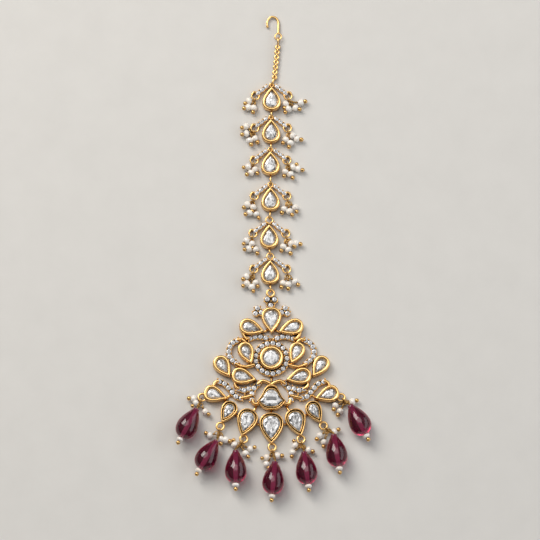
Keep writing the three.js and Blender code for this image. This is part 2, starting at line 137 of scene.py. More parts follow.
# Scrolls of the left half, each a smooth line through a few places. The right half mirrors them.
SIDES = (1, -1)
PAVED_WIDTH = 1.8
PavedScroll = namedtuple("PavedScroll", "stones line")
PAVED_SCROLLS = (
    PavedScroll(4, ((-7.1, 6.75), (-5.4, 7.3), (-3.6, 7.35), (-1.9, 6.95))),
    PavedScroll(7, ((-11.2, 6.1), (-12.9, 5.1), (-14.0, 2.8), (-13.6, 0.2), (-11.5, -1.7))),
    PavedScroll(3, ((-10.8, -10.4), (-9.0, -10.8), (-7.4, -10.3))),
    PavedScroll(4, ((-4.3, -8.6), (-5.7, -10.1), (-6.4, -12.0), (-6.4, -14.0))),
    PavedScroll(6, ((-17.2, -7.9), (-15.4, -8.6), (-13.6, -10.6), (-11.7, -12.9), (-9.9, -13.5))),
)
PLAIN_WIDTH = 1.12
PLAIN_OVERHANG = 0.2
PLAIN_SCROLLS = (
    ((-9.5, 8.9), (-9.0, 7.6), (-8.2, 6.6), (-7.2, 6.7)),
    ((-11.2, 6.2), (-9.8, 6.4), (-8.4, 5.4)),
    ((-11.8, -1.8), (-10.5, -2.5), (-8.4, -2.9), (-5.6, -2.2)),
    ((-12.0, -8.6), (-11.8, -9.6), (-10.6, -10.4)),
    ((0.0, -8.9), (-1.5, -8.0), (-3.1, -7.7), (-4.6, -8.8)),
    ((-6.3, -14.0), (-5.8, -15.4), (-4.2, -15.4)),
    ((-19.2, -9.8), (-18.6, -8.3), (-17.4, -7.7)),
    ((-10.0, -13.5), (-8.4, -13.2), (-6.3, -12.6)),
)

# Wires at the back that tie the settings together.
BRIDGE_HEIGHT = 0.5
BRIDGE_WIRE = 0.4
BRIDGES = (
    ((0.0, 6.6), (-1.6, 7.0)), ((-2.9, 9.0), (-1.0, 9.9)), ((-0.8, 6.8), (0.0, 4.5)),
    ((-5.2, 8.4), (-5.2, 7.2)), ((0.0, -5.5), (0.0, -9.6)), ((-12.7, -6.4), (-14.0, -5.6)),
    ((-15.4, -1.2), (-13.6, 0.4)), ((-5.6, -7.4), (-4.4, -8.4)), ((-8.6, -10.4), (-8.8, -13.4)),
    ((-12.7, -11.9), (-15.2, -13.4)), ((-15.6, -13.6), (-13.9, -16.2)), ((-12.2, -18.2), (-9.8, -20.8)),
    ((-5.4, -22.0), (-3.2, -22.4)), ((-4.6, -15.4), (-6.6, -19.2)), ((0.0, -17.6), (0.0, -19.4)),
)
HALO = {"radius": 5.18, "stones": 17, "sides": 102}

# Trefoils: centre, radius and the bearing of the first of their three stones.
Trefoil = namedtuple("Trefoil", "x y radius turn")
TREFOILS = (Trefoil(-0.2, 19.45, 2.5, 28), Trefoil(-4.4, 16.0, 2.05, 100), Trefoil(4.4, 16.0, 2.05, 80))

# Loops and links.
LOOP_HEIGHT = 1.2
LOOP_RADIUS = 1.2
LOOP_WIRE = 0.36
EYE_RADIUS = 0.85
EYE_WIRE = 0.2
LINK_WIRE = 0.28
LINK_HOLD = 0.65
LINK_REACH = 0.05
RING_RADIUS = 1.28
RING_WIRE = 0.25
TOP_LOOP = (-0.3, 22.2)
TOP_LOOP_HOLD = (TOP_LOOP[0], TOP_LOOP[1] + LOOP_RADIUS - LINK_HOLD)

# Station wings, about the centre of the station's setting.
WING_WIDTH = 1.35
WING_STONE_STRETCH = 1.4
WING_STONES = ((-1.75, 4.3), (-3.2, 3.1), (-4.5, 2.1))
WING_HEAD = ((-0.2, 5.0), (-1.0, 4.8))
WING_TAIL = ((-4.9, 2.3), (-5.7, 2.6), (-6.3, 2.3), (-6.6, 1.5))
WING_TAIL_WIDTH = 0.7
WING_RING = (5.4, 1.2)

# The loop at the head of each station, from the first: radius, and distance up from the setting's centre.
HeadLoop = namedtuple("HeadLoop", "radius up")
HEAD_LOOPS = (
    HeadLoop(0.64, 4.95), HeadLoop(0.64, 4.95), HeadLoop(0.64, 4.95), HeadLoop(0.8, 5.1),
    HeadLoop(1.15, 5.75), HeadLoop(1.15, 5.5),
)

# Seed pearls of a bunch: bearing and distance from the ring it hangs on, and the bearing of the gold
# ball on the end of the pearl's pin.
BUNCHES = {
    "1_left": ((220, 2.8, 215), (262, 4.2, 262), (240, 4.6, 195)),
    "1_right": ((255, 2.9, 255), (272, 4.6, 225), (301, 4.8, 340), (331, 4.9, 16)),
    "2_left": ((168, 2.9, 200), (214, 3.3, 196), (248, 4.6, 290), (272, 3.6, 300)),
    "2_right": ((262, 4.0, 232), (304, 3.1, 330), (281, 5.2, 250), (310, 4.9, 350)),
    "3_left": ((228, 3.0, 190), (256, 4.4, 205), (276, 3.2, 300)),
    "3_right": ((262, 4.0, 257), (311, 3.2, 40), (284, 4.9, 300), (322, 4.8, 344)),
    "4_left": ((232, 3.7, 222), (266, 3.8, 256), (256, 5.9, 200), (277, 6.2, 300)),
    "4_right": ((258, 4.5, 242), (279, 5.3, 308), (306, 4.8, 286)),
    "5_left": ((229, 3.2, 230), (266, 3.5, 279), (256, 5.4, 190), (280, 5.5, 290)),
    "5_right": ((259, 4.6, 249), (297, 3.9, 320), (279, 5.6, 300), (315, 4.8, 350)),
    "6_left": ((226, 3.4, 220), (245, 5.4, 214), (264, 6.1, 288), (277, 4.6, 300)),
    "6_right": ((256, 4.9, 250), (276, 5.2, 270), (303, 5.1, 314)),
}

# Drops: the loop each hangs on, the narrow top of its bead, the bearing of the bead, its seed pearls.
Drop = namedtuple("Drop", "loop top bearing pearls")
DROPS = (
    Drop((-22.8, -13.2), (-24.5, -17.7), 242, ((188, 2.8, 180), (222, 2.8, 225), (282, 4.9, 320))),
    Drop((-16.8, -23.0), (-18.0, -28.5), 240, ((222, 4.6, 150), (272, 4.4, 270), (291, 4.9, 340))),
    Drop((-9.1, -27.3), (-11.7, -31.8), 270, ((212, 3.6, 100), (276, 4.9, 310), (303, 4.0, 20))),
    Drop((0.2, -30.1), (1.2, -35.6), 265, ((243, 3.9, 190), (252, 6.0, 300), (302, 3.4, 0))),
    Drop((9.7, -27.4), (10.7, -32.3), 277, ((238, 5.2, 260), (304, 4.4, 340), (226, 2.9, 100))),
    Drop((17.1, -22.8), (20.4, -26.4), 279, ((330, 4.2, 30), (272, 5.6, 262), (250, 3.6, 230))),
    Drop((22.9, -13.2), (25.9, -16.5), 297, ((338, 4.0, 15), (235, 3.3, 250), (266, 4.7, 240))),
)
BEAD = {
    "length": 10.7, "width": 7.3, "lip": 1.0, "axis": 3.66, "tip": 0.55, "end": 2.85, "swell": 0.022,
    "bore": 0.5,
}

CHAIN_ROUTE = ((1.05, 96.4), (1.25, 98.6), (1.55, 101.6), (1.85, 104.8), (2.15, 107.6))
CHAIN_HEIGHT = 1.0
CHAIN_PITCH = 0.9
END_LINK_REACH = 0.1

# Links of the chain, lying flat and standing: half length, half width, half thickness of the wire.
CHAIN_LINKS = ((0.58, 0.6, 0.36), (0.42, 0.24, 0.29))
HOOK_EYE = (2.25, 110.4)
HOOK_EYE_RADIUS = 1.05
HOOK_ROUTE = (
    (2.25, 111.5, 1.1), (2.25, 113.4, 0.9), (2.3, 115.2, 0.8), (1.6, 116.9, 0.8), (-0.1, 117.3, 0.8),
    (-1.3, 115.9, 0.8), (-1.35, 114.0, 0.8),
)
HOOK_WIRE = 0.42
HOOK_TAPER = 0.25


# --- Sizes and colours that a user would change ---


def length_property(label, words, millimetres):
    return FloatProperty(name=label, description=words, default=millimetres * MM, unit="LENGTH", precision=5)


def colour_property(label, words, *colour):
    return FloatVectorProperty(name=label, description=words, default=colour, subtype="COLOR", min=0, max=1)


class TikkaSizes(bpy.types.PropertyGroup):
    """Sizes of the small work."""

    melee_radius: length_property("Melee radius", "Half the width of a stone in the paved work", 0.83)
    grain_radius: length_property("Grain radius", "Half the width of the gold grains between stones", 0.31)
    pearl_radius: length_property("Pearl radius", "Half the width of a seed pearl", 1.17)
    ball_radius: length_property("Ball radius", "Half the width of the ball on a pin", 0.72)
    pin_wire: length_property("Pin wire", "Half the thickness of the wire of a pearl's pin", 0.16)
    outline_points: IntProperty(
        name="Outline points", description="Points round each setting", default=56, min=16, max=96
    )


class TikkaColours(bpy.types.PropertyGroup):
    """Colours of the materials."""

    gold: colour_property("Gold", "The plated gold where it is clean", 0.93, 0.6, 0.235)
    # The next colour is painted shade, which the metals darken towards in their corners and recesses.
    old_gold: colour_property("Painted shade gold", "The gold in corners that no cloth reaches", 0.24, 0.08, 0.012)
    # This dark finish also serves as painted shade in the grooves of the double rims.
    black: colour_property("Blackened gold", "The blackened seats under the paved stones", 0.06, 0.035, 0.02)
    foil: colour_property("Foil", "The silver foil under the flat-cut stones", 0.56, 0.56, 0.57)
    foil_shadow: colour_property("Foil shadow", "The foil where a facet throws it dark", 0.1, 0.097, 0.095)
    pearl: colour_property("Pearl", "The body colour of the seed pearls", 0.92, 0.9, 0.865)
    # The thin ruby colour is also a painted glow that the drops take at their edges.
    ruby: colour_property("Ruby", "The glass of the drops where it is thin", 1.0, 0.02, 0.12)
    ruby_deep: colour_property("Deep ruby", "The glass of the drops where it is thick", 0.2, 0.01, 0.045)
    floor: colour_property("Floor", "The studio floor", 0.66, 0.645, 0.62)


# --- Outlines and lines ---


def around(count):
    """The cosine and sine of equal steps round a circle."""
    return [(math.cos(TURN * k / count), math.sin(TURN * k / count)) for k in range(count)]


def polar(centre, bearing, distance):
    angle = math.radians(bearing)
    return (centre[0] + distance * math.cos(angle), centre[1] + distance * math.sin(angle))


def heading(bearing, up=0.0):
    """The direction of a bearing in plan, tipped up if asked."""
    return Vector((*polar((0, 0), bearing, 1), up))


def crosswise(along):
    """The direction in plan to the left of another."""
    return Vector((-along.y, along.x, 0))


def raised(place, height):
    """A place in plan, at a height."""
    return Vector((*place, height))


@functools.lru_cache(maxsize=None)
def fullness(pinch):
    """The greatest value of sin(t) sin(t/2)^pinch, which sets a pear outline's width."""
    return max(math.sin(t) * math.sin(t / 2) ** pinch for t in (k * math.pi / 400 for k in range(400)))


def pear_outline(setting, inset, count):
    """A pear with its tip along +X, moved in by inset all round."""
    half_tip = math.atan2(setting.width, fullness(1.0) * setting.length)
    length = setting.length - inset - inset / math.sin(half_tip)
    half_width = (setting.width / 2 - inset) / fullness(setting.pinch)
    middle = (length - setting.length) / 2 + inset
    return [
        (middle + length / 2 * math.cos(t), half_width * math.sin(t) * abs(math.sin(t / 2)) ** setting.pinch)
        for t in (TURN * k / count for k in range(count))
    ]


def centre_outline(inset, count):
    """The round outline of the centre setting."""
    return [((CENTRE_RADIUS - inset) * x, (CENTRE_RADIUS - inset) * y) for x, y in around(count)]


def bezier(start, first, second, end, count):
    """Places along a cubic curve, without its last one."""
    places = []
    for t in (k / count for k in range(count)):
        weights = ((1 - t) ** 3, 3 * (1 - t) ** 2 * t, 3 * (1 - t) * t * t, t**3)
        pulls = list(zip(weights, (start, first, second, end)))
        places.append(tuple(sum(weight * knot[axis] for weight, knot in pulls) for axis in (0, 1)))
    return places


def bell_outline(inset, count):
    """Concave flanks from a round head to two side points, and a round foot."""
    side = BELL["half_width"] - BELL["taper"] * inset
    top = BELL["top"] - BELL["crown"] * inset
    bottom = BELL["bottom"] + inset
    head, waist, foot, toe = (side * BELL_PULL[name] for name in ("head", "waist", "foot", "toe"))
    right, left = (side, BELL["shoulder"]), (-side, BELL["shoulder"])
    curves = (
        (right, (waist, BELL["waist_y"]), (head, top), (0, top)),
        ((0, top), (-head, top), (-waist, BELL["waist_y"]), left),
        (left, (-foot, bottom), (-toe, bottom), (0, bottom)),
        ((0, bottom), (toe, bottom), (foot, bottom), right),
    )
    return [place for curve in curves for place in bezier(*curve, count // 4)]


def turned(points, degrees):
    cosine, sine = math.cos(math.radians(degrees)), math.sin(math.radians(degrees))
    return [(x * cosine - y * sine, x * sine + y * cosine) for x, y in points]


def half_placed(points, side, centre=(0, 0)):
    """Points drawn for the left half, about a centre: side 1 keeps them and side -1 mirrors them."""
    return [(centre[0] + side * x, centre[1] + y) for x, y in points]


def beyond(end, inner):
    """The place as far past the end of a line as another is short of it."""
    return [2 * a - b for a, b in zip(end, inner)]


def smooth_line(points, step=LINE_STEP):
    """A smooth line through the points, as places about a step apart."""
    ends = [beyond(points[0], points[1]), *points, beyond(points[-1], points[-2])]
    knots = [Vector(p).to_3d() for p in ends]
    line = []
    for before, start, end, after in zip(knots, knots[1:], knots[2:], knots[3:]):
        count = max(2, round((end - start).length / step))
        bend = 2 * before - 5 * start + 4 * end - after
        swing = 3 * start - before - 3 * end + after
        for t in (k / count for k in range(count)):
            line.append(0.5 * (2 * start + (end - before) * t + bend * t * t + swing * t**3))
    return [*line, knots[-2].copy()]


class Track:
    """A line that is measured along its length."""

    def __init__(self, line):
        self.line = line
        self.marks = [0.0]
        for a, b in zip(line, line[1:]):
            self.marks.append(self.marks[-1] + (b - a).length)
        self.length = self.marks[-1]

    def at(self, distance):
        """The place and the direction at a distance along the line, which runs on straight past its ends."""
        inside = min(max(distance, 0.0), self.length)
        k = 0
        while k < len(self.line) - 2 and self.marks[k + 1] < inside:
            k += 1
        step = self.line[k + 1] - self.line[k]
        share = (inside - self.marks[k]) / max(step.length, 1e-9)
        along = step.normalized()
        return self.line[k] + step * share + along * (distance - inside), along


def settle(points, node):
    """The shift in plan that puts the points in the middle of a CAD node's box."""
    low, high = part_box(node)
    shift = []
    for axis in (0, 1):
        places = [p[axis] for p in points]
        shift.append((low[axis] / MM + high[axis] / MM - min(places) - max(places)) / 2)
    return shift


def stone_place(setting, turn, node):
    """The centre of a pear setting, from where its CAD stone stands."""
    plain = setting._replace(pinch=1.0)
    return settle(turned(pear_outline(plain, CAD_STONE_INSET, 12), turn), node)


def placed_pear(setting, turn, node):
    """A function that gives the setting's outline, for an inset and a count, where its CAD stone stands."""
    place = stone_place(setting, turn, node)
    return lambda inset, count: half_placed(turned(pear_outline(setting, inset, count), turn), 1, place)


def placed_pears():
    """The pendant's pear settings, each with its stone's node and its outline there."""
    for setting in SETTINGS:
        turns = {"_left": setting.turn, "_right": 180 - setting.turn} if setting.twin else {"": setting.turn}
        for side, turn in turns.items():
            node = f"stone_{setting.name}{side}"
            yield setting, node, placed_pear(setting, turn, node)


def station_place(number):
    return stone_place(STATION_SETTING, STATION_SETTING.turn, f"station_{number}_stone")


def head_hold(number):
    """Where the link above holds a station's head loop."""
    x, y = station_place(number)
    loop = HEAD_LOOPS[number - 1]
    return (x, y + loop.up + loop.radius - LINK_HOLD)


# --- Making meshes ---

MATERIALS = {}


class Bench:
    """The vertices and faces of one piece while it is being made, in millimetres."""

    def __init__(self, name):
        self.rng = random.Random(name)
        self.name = name
        self.vertices, self.faces = [], []
        self.smooth, self.finishes, self.shades = [], [], []

    def add(self, shape, smooth=True, finish=0, shade=0.0):
        """Adds a shape, a pair of vertices and faces. finish may be a function of a face's number, and shade
        a list with one for each face."""
        vertices, faces = shape
        start, count = len(self.vertices), len(faces)
        self.vertices.extend(tuple(v) for v in vertices)
        self.faces.extend(tuple(start + index for index in face) for face in faces)
        self.smooth.extend([smooth] * count)
        self.finishes.extend(int(finish(k)) if callable(finish) else finish for k in range(count))
        self.shades.extend(shade if isinstance(shade, list) else [shade] * count)

    def piece(self, slot, finishes, *nodes):
        """Turns the work into a Blender object that rides on the ornament and stands for the CAD nodes."""
        mesh = bpy.data.meshes.new(self.name)
        mesh.from_pydata([[value * MM for value in v] for v in self.vertices], [], self.faces)
        mesh.polygons.foreach_set("use_smooth", self.smooth)
        mesh.polygons.foreach_set("material_index", self.finishes)
        mesh.attributes.new("facet_shade", "FLOAT", "FACE").data.foreach_set("value", self.shades)
        for finish in finishes:
            mesh.materials.append(MATERIALS[finish])
        mesh.validate()
        mesh.update()
        made = bpy.data.objects.new(self.name, mesh)
        bpy.context.scene.collection.objects.link(made)
        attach(made, BODY)
        if nodes:
            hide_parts(*nodes)


def skin(rings, closed=False):
    """A surface through rings of equally many points, capped at both ends or closed on itself."""
    count = len(rings[0])
    vertices = [point for ring in rings for point in ring]
    faces = []
    for k in range(len(rings) if closed else len(rings) - 1):
        here, there = k * count, (k + 1) % len(rings) * count
        for i in range(count):
            j = (i + 1) % count
            faces.append((here + i, here + j, there + j, there + i))
    if not closed:
        for ring, base in ((rings[0], 0), (rings[-1], (len(rings) - 1) * count)):
            hub = len(vertices)
            vertices.append(tuple(sum(p[axis] for p in ring) / count for axis in range(3)))
            for i in range(count):
                i, j = base + i, base + (i + 1) % count
                faces.append((hub, i, j) if base else (hub, j, i))
    return vertices, faces


def tube(line, radius, sides=10, closed=False):
    """A round wire along a line. radius is a number, or a function of the share of the way along."""
    line = [Vector(p) for p in line]
    count = len(line)
    tangents = []
    for k in range(count):
        ahead = line[(k + 1) % count] if closed or k < count - 1 else line[k]
        behind = line[k - 1] if closed or k > 0 else line[k]
        tangents.append((ahead - behind).normalized())
    normals = [tangents[0].orthogonal().normalized()]
    for before, after in zip(tangents, tangents[1:]):
        normals.append((before.rotation_difference(after) @ normals[-1]).normalized())
    twist = 0.0
    if closed:
        last = tangents[-1].rotation_difference(tangents[0]) @ normals[-1]
        twist = math.atan2(tangents[0].cross(last).dot(normals[0]), last.dot(normals[0]))
    rings = []
    for k, place in enumerate(line):
        normal = Matrix.Rotation(twist * k / count, 3, tangents[k]) @ normals[k]
        other = tangents[k].cross(normal)
        size = radius(k / (count - 1)) if callable(radius) else radius
        rings.append([place + size * (a * normal + b * other) for a, b in around(sides)])
    return skin(rings, closed)


def ball(centre, radius, sides=16, bands=10, axis=(0, 0, 1), squash=1.0, bumps=lambda way: 0.0):
    """A round body, squashed along its axis. bumps gives a swelling for a direction."""
    turn = Vector((0, 0, 1)).rotation_difference(Vector(axis).normalized())
    centre = Vector(centre)
    rings = []
    for slope in (math.pi * (1 - band / bands) for band in range(1, bands)):
        ring = []
        for a, b in around(sides):
            way = Vector((math.sin(slope) * a, math.sin(slope) * b, math.cos(slope)))
            size = radius * (1 + bumps(way))
            ring.append(centre + turn @ (size * Vector((way.x, way.y, squash * way.z))))
        rings.append(ring)
    vertices, faces = skin(rings)
    for hub, end in ((-2, -1), (-1, 1)):
        vertices[hub] = centre + turn @ Vector((0, 0, end * squash * radius))
    return vertices, faces


def oval(centre, long_axis, short_axis, long_half, short_half, count=28):
    """Places round an oval between two directions."""
    long_axis, short_axis, centre = Vector(long_axis), Vector(short_axis), Vector(centre)
    return [centre + long_half * a * long_axis + short_half * b * short_axis for a, b in around(count)]


def flat_loop(centre, radius, wire=LOOP_WIRE):
    """A loop of round wire lying flat."""
    return tube(oval((*centre, LOOP_HEIGHT), (1, 0, 0), (0, 1, 0), radius, radius), wire, 12, closed=True)


def upright_link(start, end):
    """An upright link from one place in plan to another."""
    start, end = raised(start, LOOP_HEIGHT), raised(end, LOOP_HEIGHT)
    along = end - start
    line = oval((start + end) / 2, along.normalized(), (0, 0, 1), along.length / 2, EYE_RADIUS)
    return tube(line, LINK_WIRE, 10, closed=True)


def waver(rng, amount):
    """A gentle unevenness round a turn, as work pressed by hand has."""
    terms = [(order, rng.uniform(-1, 1) * amount / order, rng.uniform(0, TURN)) for order in (1, 2, 3, 5, 8)]
    return lambda angle: sum(size * math.cos(order * angle + start) for order, size, start in terms)


# --- Goldwork ---

# Sections of strips: the share of the half width and the height, round the strip.
SEAT_SECTION = (
    (-0.95, 0.0), (0.95, 0.0), (1.0, 0.12), (1.0, 1.25), (0.96, 1.36), (0.87, 1.37), (0.8, 1.26), (0.78, 1.1),
    (-0.78, 1.1), (-0.8, 1.26), (-0.87, 1.37), (-0.96, 1.36), (-1.0, 1.25), (-1.0, 0.12),
)
SEAT_DARK = (6, 7, 8)
WIRE_SECTION = (
    (-0.8, 0.0), (0.8, 0.0), (1.0, 0.3), (1.0, 1.6), (0.9, 1.88), (0.66, 2.1), (0.34, 2.23), (0.0, 2.27),
    (-0.34, 2.23), (-0.66, 2.1), (-0.9, 1.88), (-1.0, 1.6), (-1.0, 0.3),
)
WING_WIRE_SECTION = tuple((across, 0.68 * up) for across, up in WIRE_SECTION)

# How far in from the outline, and how high, up the side of a trefoil to its floor.
TREFOIL_SECTION = (
    (0.05, 0.0), (0.0, 0.12), (0.0, 1.26), (0.04, 1.37), (0.13, 1.38), (0.2, 1.26), (0.22, 1.1),
)
TREFOIL_POINTS = 48
TREFOIL_LOBE = 0.15

# Grains beside each stone of a trefoil: bearing from the stone's, reach, and share of the full size.
TREFOIL_GRAINS = ((60, 0.58, 1.0), (-36, 0.88, 0.9), (36, 0.88, 0.9))
GRAIN_HEIGHT = 1.42
MELEE_HEIGHT = 1.4

# Paved work: the shares of its width for a stone's and a grain's radius, and how far aside grains stand.
MELEE_SHARE = 0.47
GRAIN_SHARE = 0.18
GRAIN_ASIDE = 0.42
PAVE_OVERRUN = 0.85
RIM_WAVER = 0.04
RIM_WAVER_FROM = 1.5


def add_setting(bench, outline, rim, count):
    """A cup with a pressed rim, dark in the groove of a double rim as painted shade. outline gives the placed
    points for an inset.
    """
    lift = waver(bench.rng, RIM_WAVER)
    rings = []
    for inset, height in RIMS[rim]:
        rise = RIM_WAVER_FROM < height
        points = outline(inset, count)
        rings.append([(x, y, height + rise * lift(TURN * k / count)) for k, (x, y) in enumerate(points)])
    bench.add(skin(rings), finish=lambda k: rim == "double" and k // count in GROOVE)


def rounded_stops(length, half_width):
    """Distances along a strip, closer at its ends, each with the strip's share of its full width."""
    curve = [math.radians(angle) for angle in (12, 35, 60, 90)]
    reach = min(half_width, length / 3)
    stops = [(reach * (1 - math.cos(a)), math.sin(a)) for a in curve]
    middle = max(1, round((length - 2 * reach) / 0.5))
    stops += [(reach + (length - 2 * reach) * k / middle, 1.0) for k in range(1, middle)]
    stops += [(length - reach * (1 - math.cos(a)), math.sin(a)) for a in reversed(curve)]
    return stops


def add_strip(bench, track, width, section, overhang=0.0, dark=()):
    """A strip along a track. section gives the share of the half width and the height, as a ring.

    overhang is how far it runs past the ends of the track, and dark lists the section's blackened faces.
    """
    rings = []
    for distance, share in rounded_stops(track.length + 2 * overhang, width / 2):
        place, along = track.at(distance - overhang)
        reach = crosswise(along) * (share * width / 2)
        rings.append([place + reach * across + Vector((0, 0, up)) for across, up in section])
    count = len(section)
    walls = (len(rings) - 1) * count
    bench.add(skin(rings), finish=lambda k: k < walls and k % count in dark)


def add_grain(bench, place, radius):
    """A grain of gold raised from the edge to hold a stone, in the bench's third finish."""
    bench.add(ball((place[0], place[1], GRAIN_HEIGHT), radius, 10, 6, squash=1.15), finish=2)


def add_melee(gems, place, radius, along=(1.0, 0.0), stretch=1.0):
    """A small brilliant: a dark table in a star of eight bright and dim facets, longer along a direction."""
    rng = gems.rng
    start = rng.uniform(0, TURN)
    vertices = []
    for share, up, half in ((1.0, -0.3, 0), (1.0, 0.05, 0), (0.76, 0.19, 0.5), (0.5, 0.25, 0)):
        for angle in (start + TURN * (k + half) / 8 for k in range(8)):
            ahead, aside = radius * share * stretch * math.cos(angle), radius * share * math.sin(angle)
            x = place[0] + along[0] * ahead - along[1] * aside
            y = place[1] + along[1] * ahead + along[0] * aside
            vertices.append((x, y, MELEE_HEIGHT + up))
    vertices += [(place[0], place[1], MELEE_HEIGHT + up) for up in (0.24, -0.3)]
    faces, shades = [], []
    for k in range(8):
        j = (k + 1) % 8
        faces += [(k, j, 8 + j, 8 + k), (8 + k, 8 + j, 16 + k), (8 + j, 16 + j, 16 + k)]
        faces += [(16 + k, 24 + j, 24 + k), (16 + k, 16 + j, 24 + j), (24 + k, 24 + j, 32), (33, j, k)]
        # Painted reflections: each facet gets its own shade, with bright crown facets and a table that is
        # mostly dark.
        bright = rng.uniform(0.7, 1.0)
        shades += [0.3, bright, rng.uniform(0.5, 1.0), rng.uniform(0.35, 1.0), bright]
        shades += [rng.choice((0.0, 0.1, 0.3, 0.8)), 0.5]
    gems.add((vertices, faces), smooth=False, shade=shades)


def pave(gold, gems, track, width, count, size, ring=False, stretch=1.0):
    """Stones from one end of a track to the other, with two gold grains beside each gap between them."""
    pitch = track.length / (count if ring else count - 1)
    radius = min(size.melee, MELEE_SHARE * width)
    grain = min(size.grain, GRAIN_SHARE * width)
    past = PAVE_OVERRUN * radius
    for k in range(count):
        place, along = track.at(k * pitch)
        add_melee(gems, place, radius * gems.rng.uniform(0.96, 1.03), along, stretch)
    for k in range(0 if ring else -1, count):
        place, along = track.at(min(max((k + 0.5) * pitch, -past), track.length + past))
        for sign in (-1, 1):
            add_grain(gold, place + crosswise(along) * (sign * GRAIN_ASIDE * width), grain)


def add_trefoil(gold, gems, trefoil, size):
    """A three-lobed cup with a blackened floor, three stones and grains between them."""
    centre = (trefoil.x, trefoil.y)
    rings = []
    for inset, height in TREFOIL_SECTION:
        ring = []
        for angle in (360 * k / TREFOIL_POINTS for k in range(TREFOIL_POINTS)):
            lobe = TREFOIL_LOBE * trefoil.radius * (math.cos(math.radians(3 * (angle - trefoil.turn))) - 1)
            ring.append((*polar(centre, angle, trefoil.radius + lobe - inset), height))
        rings.append(ring)
    gold.add(skin(rings), finish=lambda k: k >= len(TREFOIL_SECTION) * TREFOIL_POINTS)
    add_grain(gold, centre, size.grain)
    for bearing in (trefoil.turn + 120 * k for k in range(3)):
        add_melee(gems, polar(centre, bearing, 0.56 * trefoil.radius), size.melee)
        for aside, reach, share in TREFOIL_GRAINS:
            add_grain(gold, polar(centre, bearing + aside, reach * trefoil.radius), size.grain * share)


def add_halo(work, gems, size):
    """The paved ring round the centre, on a low plate that ties it to the centre setting."""
    radius, sides = HALO["radius"], HALO["sides"]
    inner = CENTRE_RADIUS - 0.3
    seats = [(radius - PAVED_WIDTH / 2 * across, up) for across, up in SEAT_SECTION]
    plate = [(inner, 0.0), (radius, 0.0), (radius, 0.5), (inner, 0.5)]
    for section, dark in ((seats, SEAT_DARK), (plate, (0, 1, 2, 3))):
        rings = [[(reach * a, reach * b, up) for reach, up in section] for a, b in around(sides)]
        work.add(skin(rings, closed=True), finish=lambda k: k % len(section) in dark)
    circle = [raised(polar((0, 0), 3 * k, radius), 0) for k in range(121)]
    pave(work, gems, Track(circle), PAVED_WIDTH, HALO["stones"], size, ring=True)


# --- Stones ---

# Cuts: the rings of a stone from its girdle in, as inset, height and points, then the height of its
# middle, how unevenly it is cut, how dark its darkest facets are and how rare the dark ones are.
# The facets' shades are painted reflections.
Cut = namedtuple("Cut", "rings middle play dark rarity")
CUTS = {
    "rose": Cut(((0.0, 2.12, 24), (0.36, 2.34, 12), (0.8, 2.46, 12)), 2.5, 0.13, 0.6, 1.6),
    "brilliant": Cut(((0.0, 2.3, 24), (0.3, 2.5, 24), (0.8, 2.62, 12), (1.4, 2.58, 12)), 2.54, 0.1, 1.0, 1.2),
}
STONE_FOOT = 1.45

# Steps cut across the bell stone: half widths at the top and bottom, top, bottom, height and shade.
Step = namedtuple("Step", "top_half bottom_half top bottom height shade")
# The steps' shades are painted reflections, and the dark middle step is a painted dark reflection across the
# stone.
BELL_STEPS = (
    Step(0.8, 1.55, -11.9, -13.3, 2.74, 0.7),
    Step(1.45, 1.55, -13.4, -14.3, 2.72, 0.12),
    Step(2.3, 1.6, -14.5, -15.5, 2.7, 1.0),
)
STEP_BEVEL = 0.14


def add_step(bench, step):
    """A flat facet with bevelled sides that lies across a stone."""
    rings = []
    for grow, sink in ((STEP_BEVEL, 0.35), (STEP_BEVEL, 0.1), (0.0, 0.0)):
        foot, head = step.bottom_half + grow, step.top_half + grow
        low, high = step.bottom - grow, step.top + grow
        corners = ((-foot, low), (foot, low), (head, high), (-head, high))
        rings.append([(x, y, step.height - sink) for x, y in corners])
    bench.add(skin(rings), smooth=False, shade=step.shade)


def facet_band(lower, upper):
    """Triangles between a ring and an inner ring of as many, or half as many, points."""
    faces = []
    for k, inner in enumerate(upper):
        after = upper[(k + 1) % len(upper)]
        if len(lower) == len(upper):
            last = lower[(k + 1) % len(lower)]
            faces += [(lower[k], last, inner), (last, after, inner)]
        else:
            first, middle, last = lower[2 * k], lower[2 * k + 1], lower[(2 * k + 2) % len(lower)]
            faces += [(first, middle, inner), (middle, after, inner), (middle, last, after)]
    return faces


def add_cut_stone(bench, outline, cut, edge):
    """A stone with flat, slightly uneven facets. outline gives placed points for an inset and a count."""
    rng = bench.rng
    count = cut.rings[0][2]
    vertices = [(x, y, STONE_FOOT) for x, y in outline(edge, count)]
    rings = [list(range(count))]
    for row, (inset, height, number) in enumerate(cut.rings):
        play = cut.play if row > 0 else 0.0
        rings.append(list(range(len(vertices), len(vertices) + number)))
        for x, y in outline(edge + inset, number):
            right, up, out = (rng.uniform(-play, play) for _ in range(3))
            vertices.append((x + right, y + up, height + out * 0.5))
    faces = [face for lower, upper in zip(rings, rings[1:]) for face in facet_band(lower, upper)]
    girdle, last = rings[0], rings[-1]
    x, y = (sum(vertices[index][axis] for index in last) / len(last) for axis in (0, 1))
    hub = len(vertices)
    vertices += [(x + rng.uniform(-0.2, 0.2), y + rng.uniform(-0.2, 0.2), cut.middle), (x, y, STONE_FOOT)]
    faces += [(here, there, hub) for here, there in zip(last, last[1:] + last[:1])]
    faces += [(hub + 1, there, here) for here, there in zip(girdle, girdle[1:] + girdle[:1])]
    # Painted reflections: each facet gets a random shade, and the dark ones are rarer.
    shades = [1.0 - cut.dark * rng.random() ** cut.rarity for _ in faces]
    bench.add((vertices, faces), smooth=False, shade=shades)


# --- Pearls, pins and beads ---

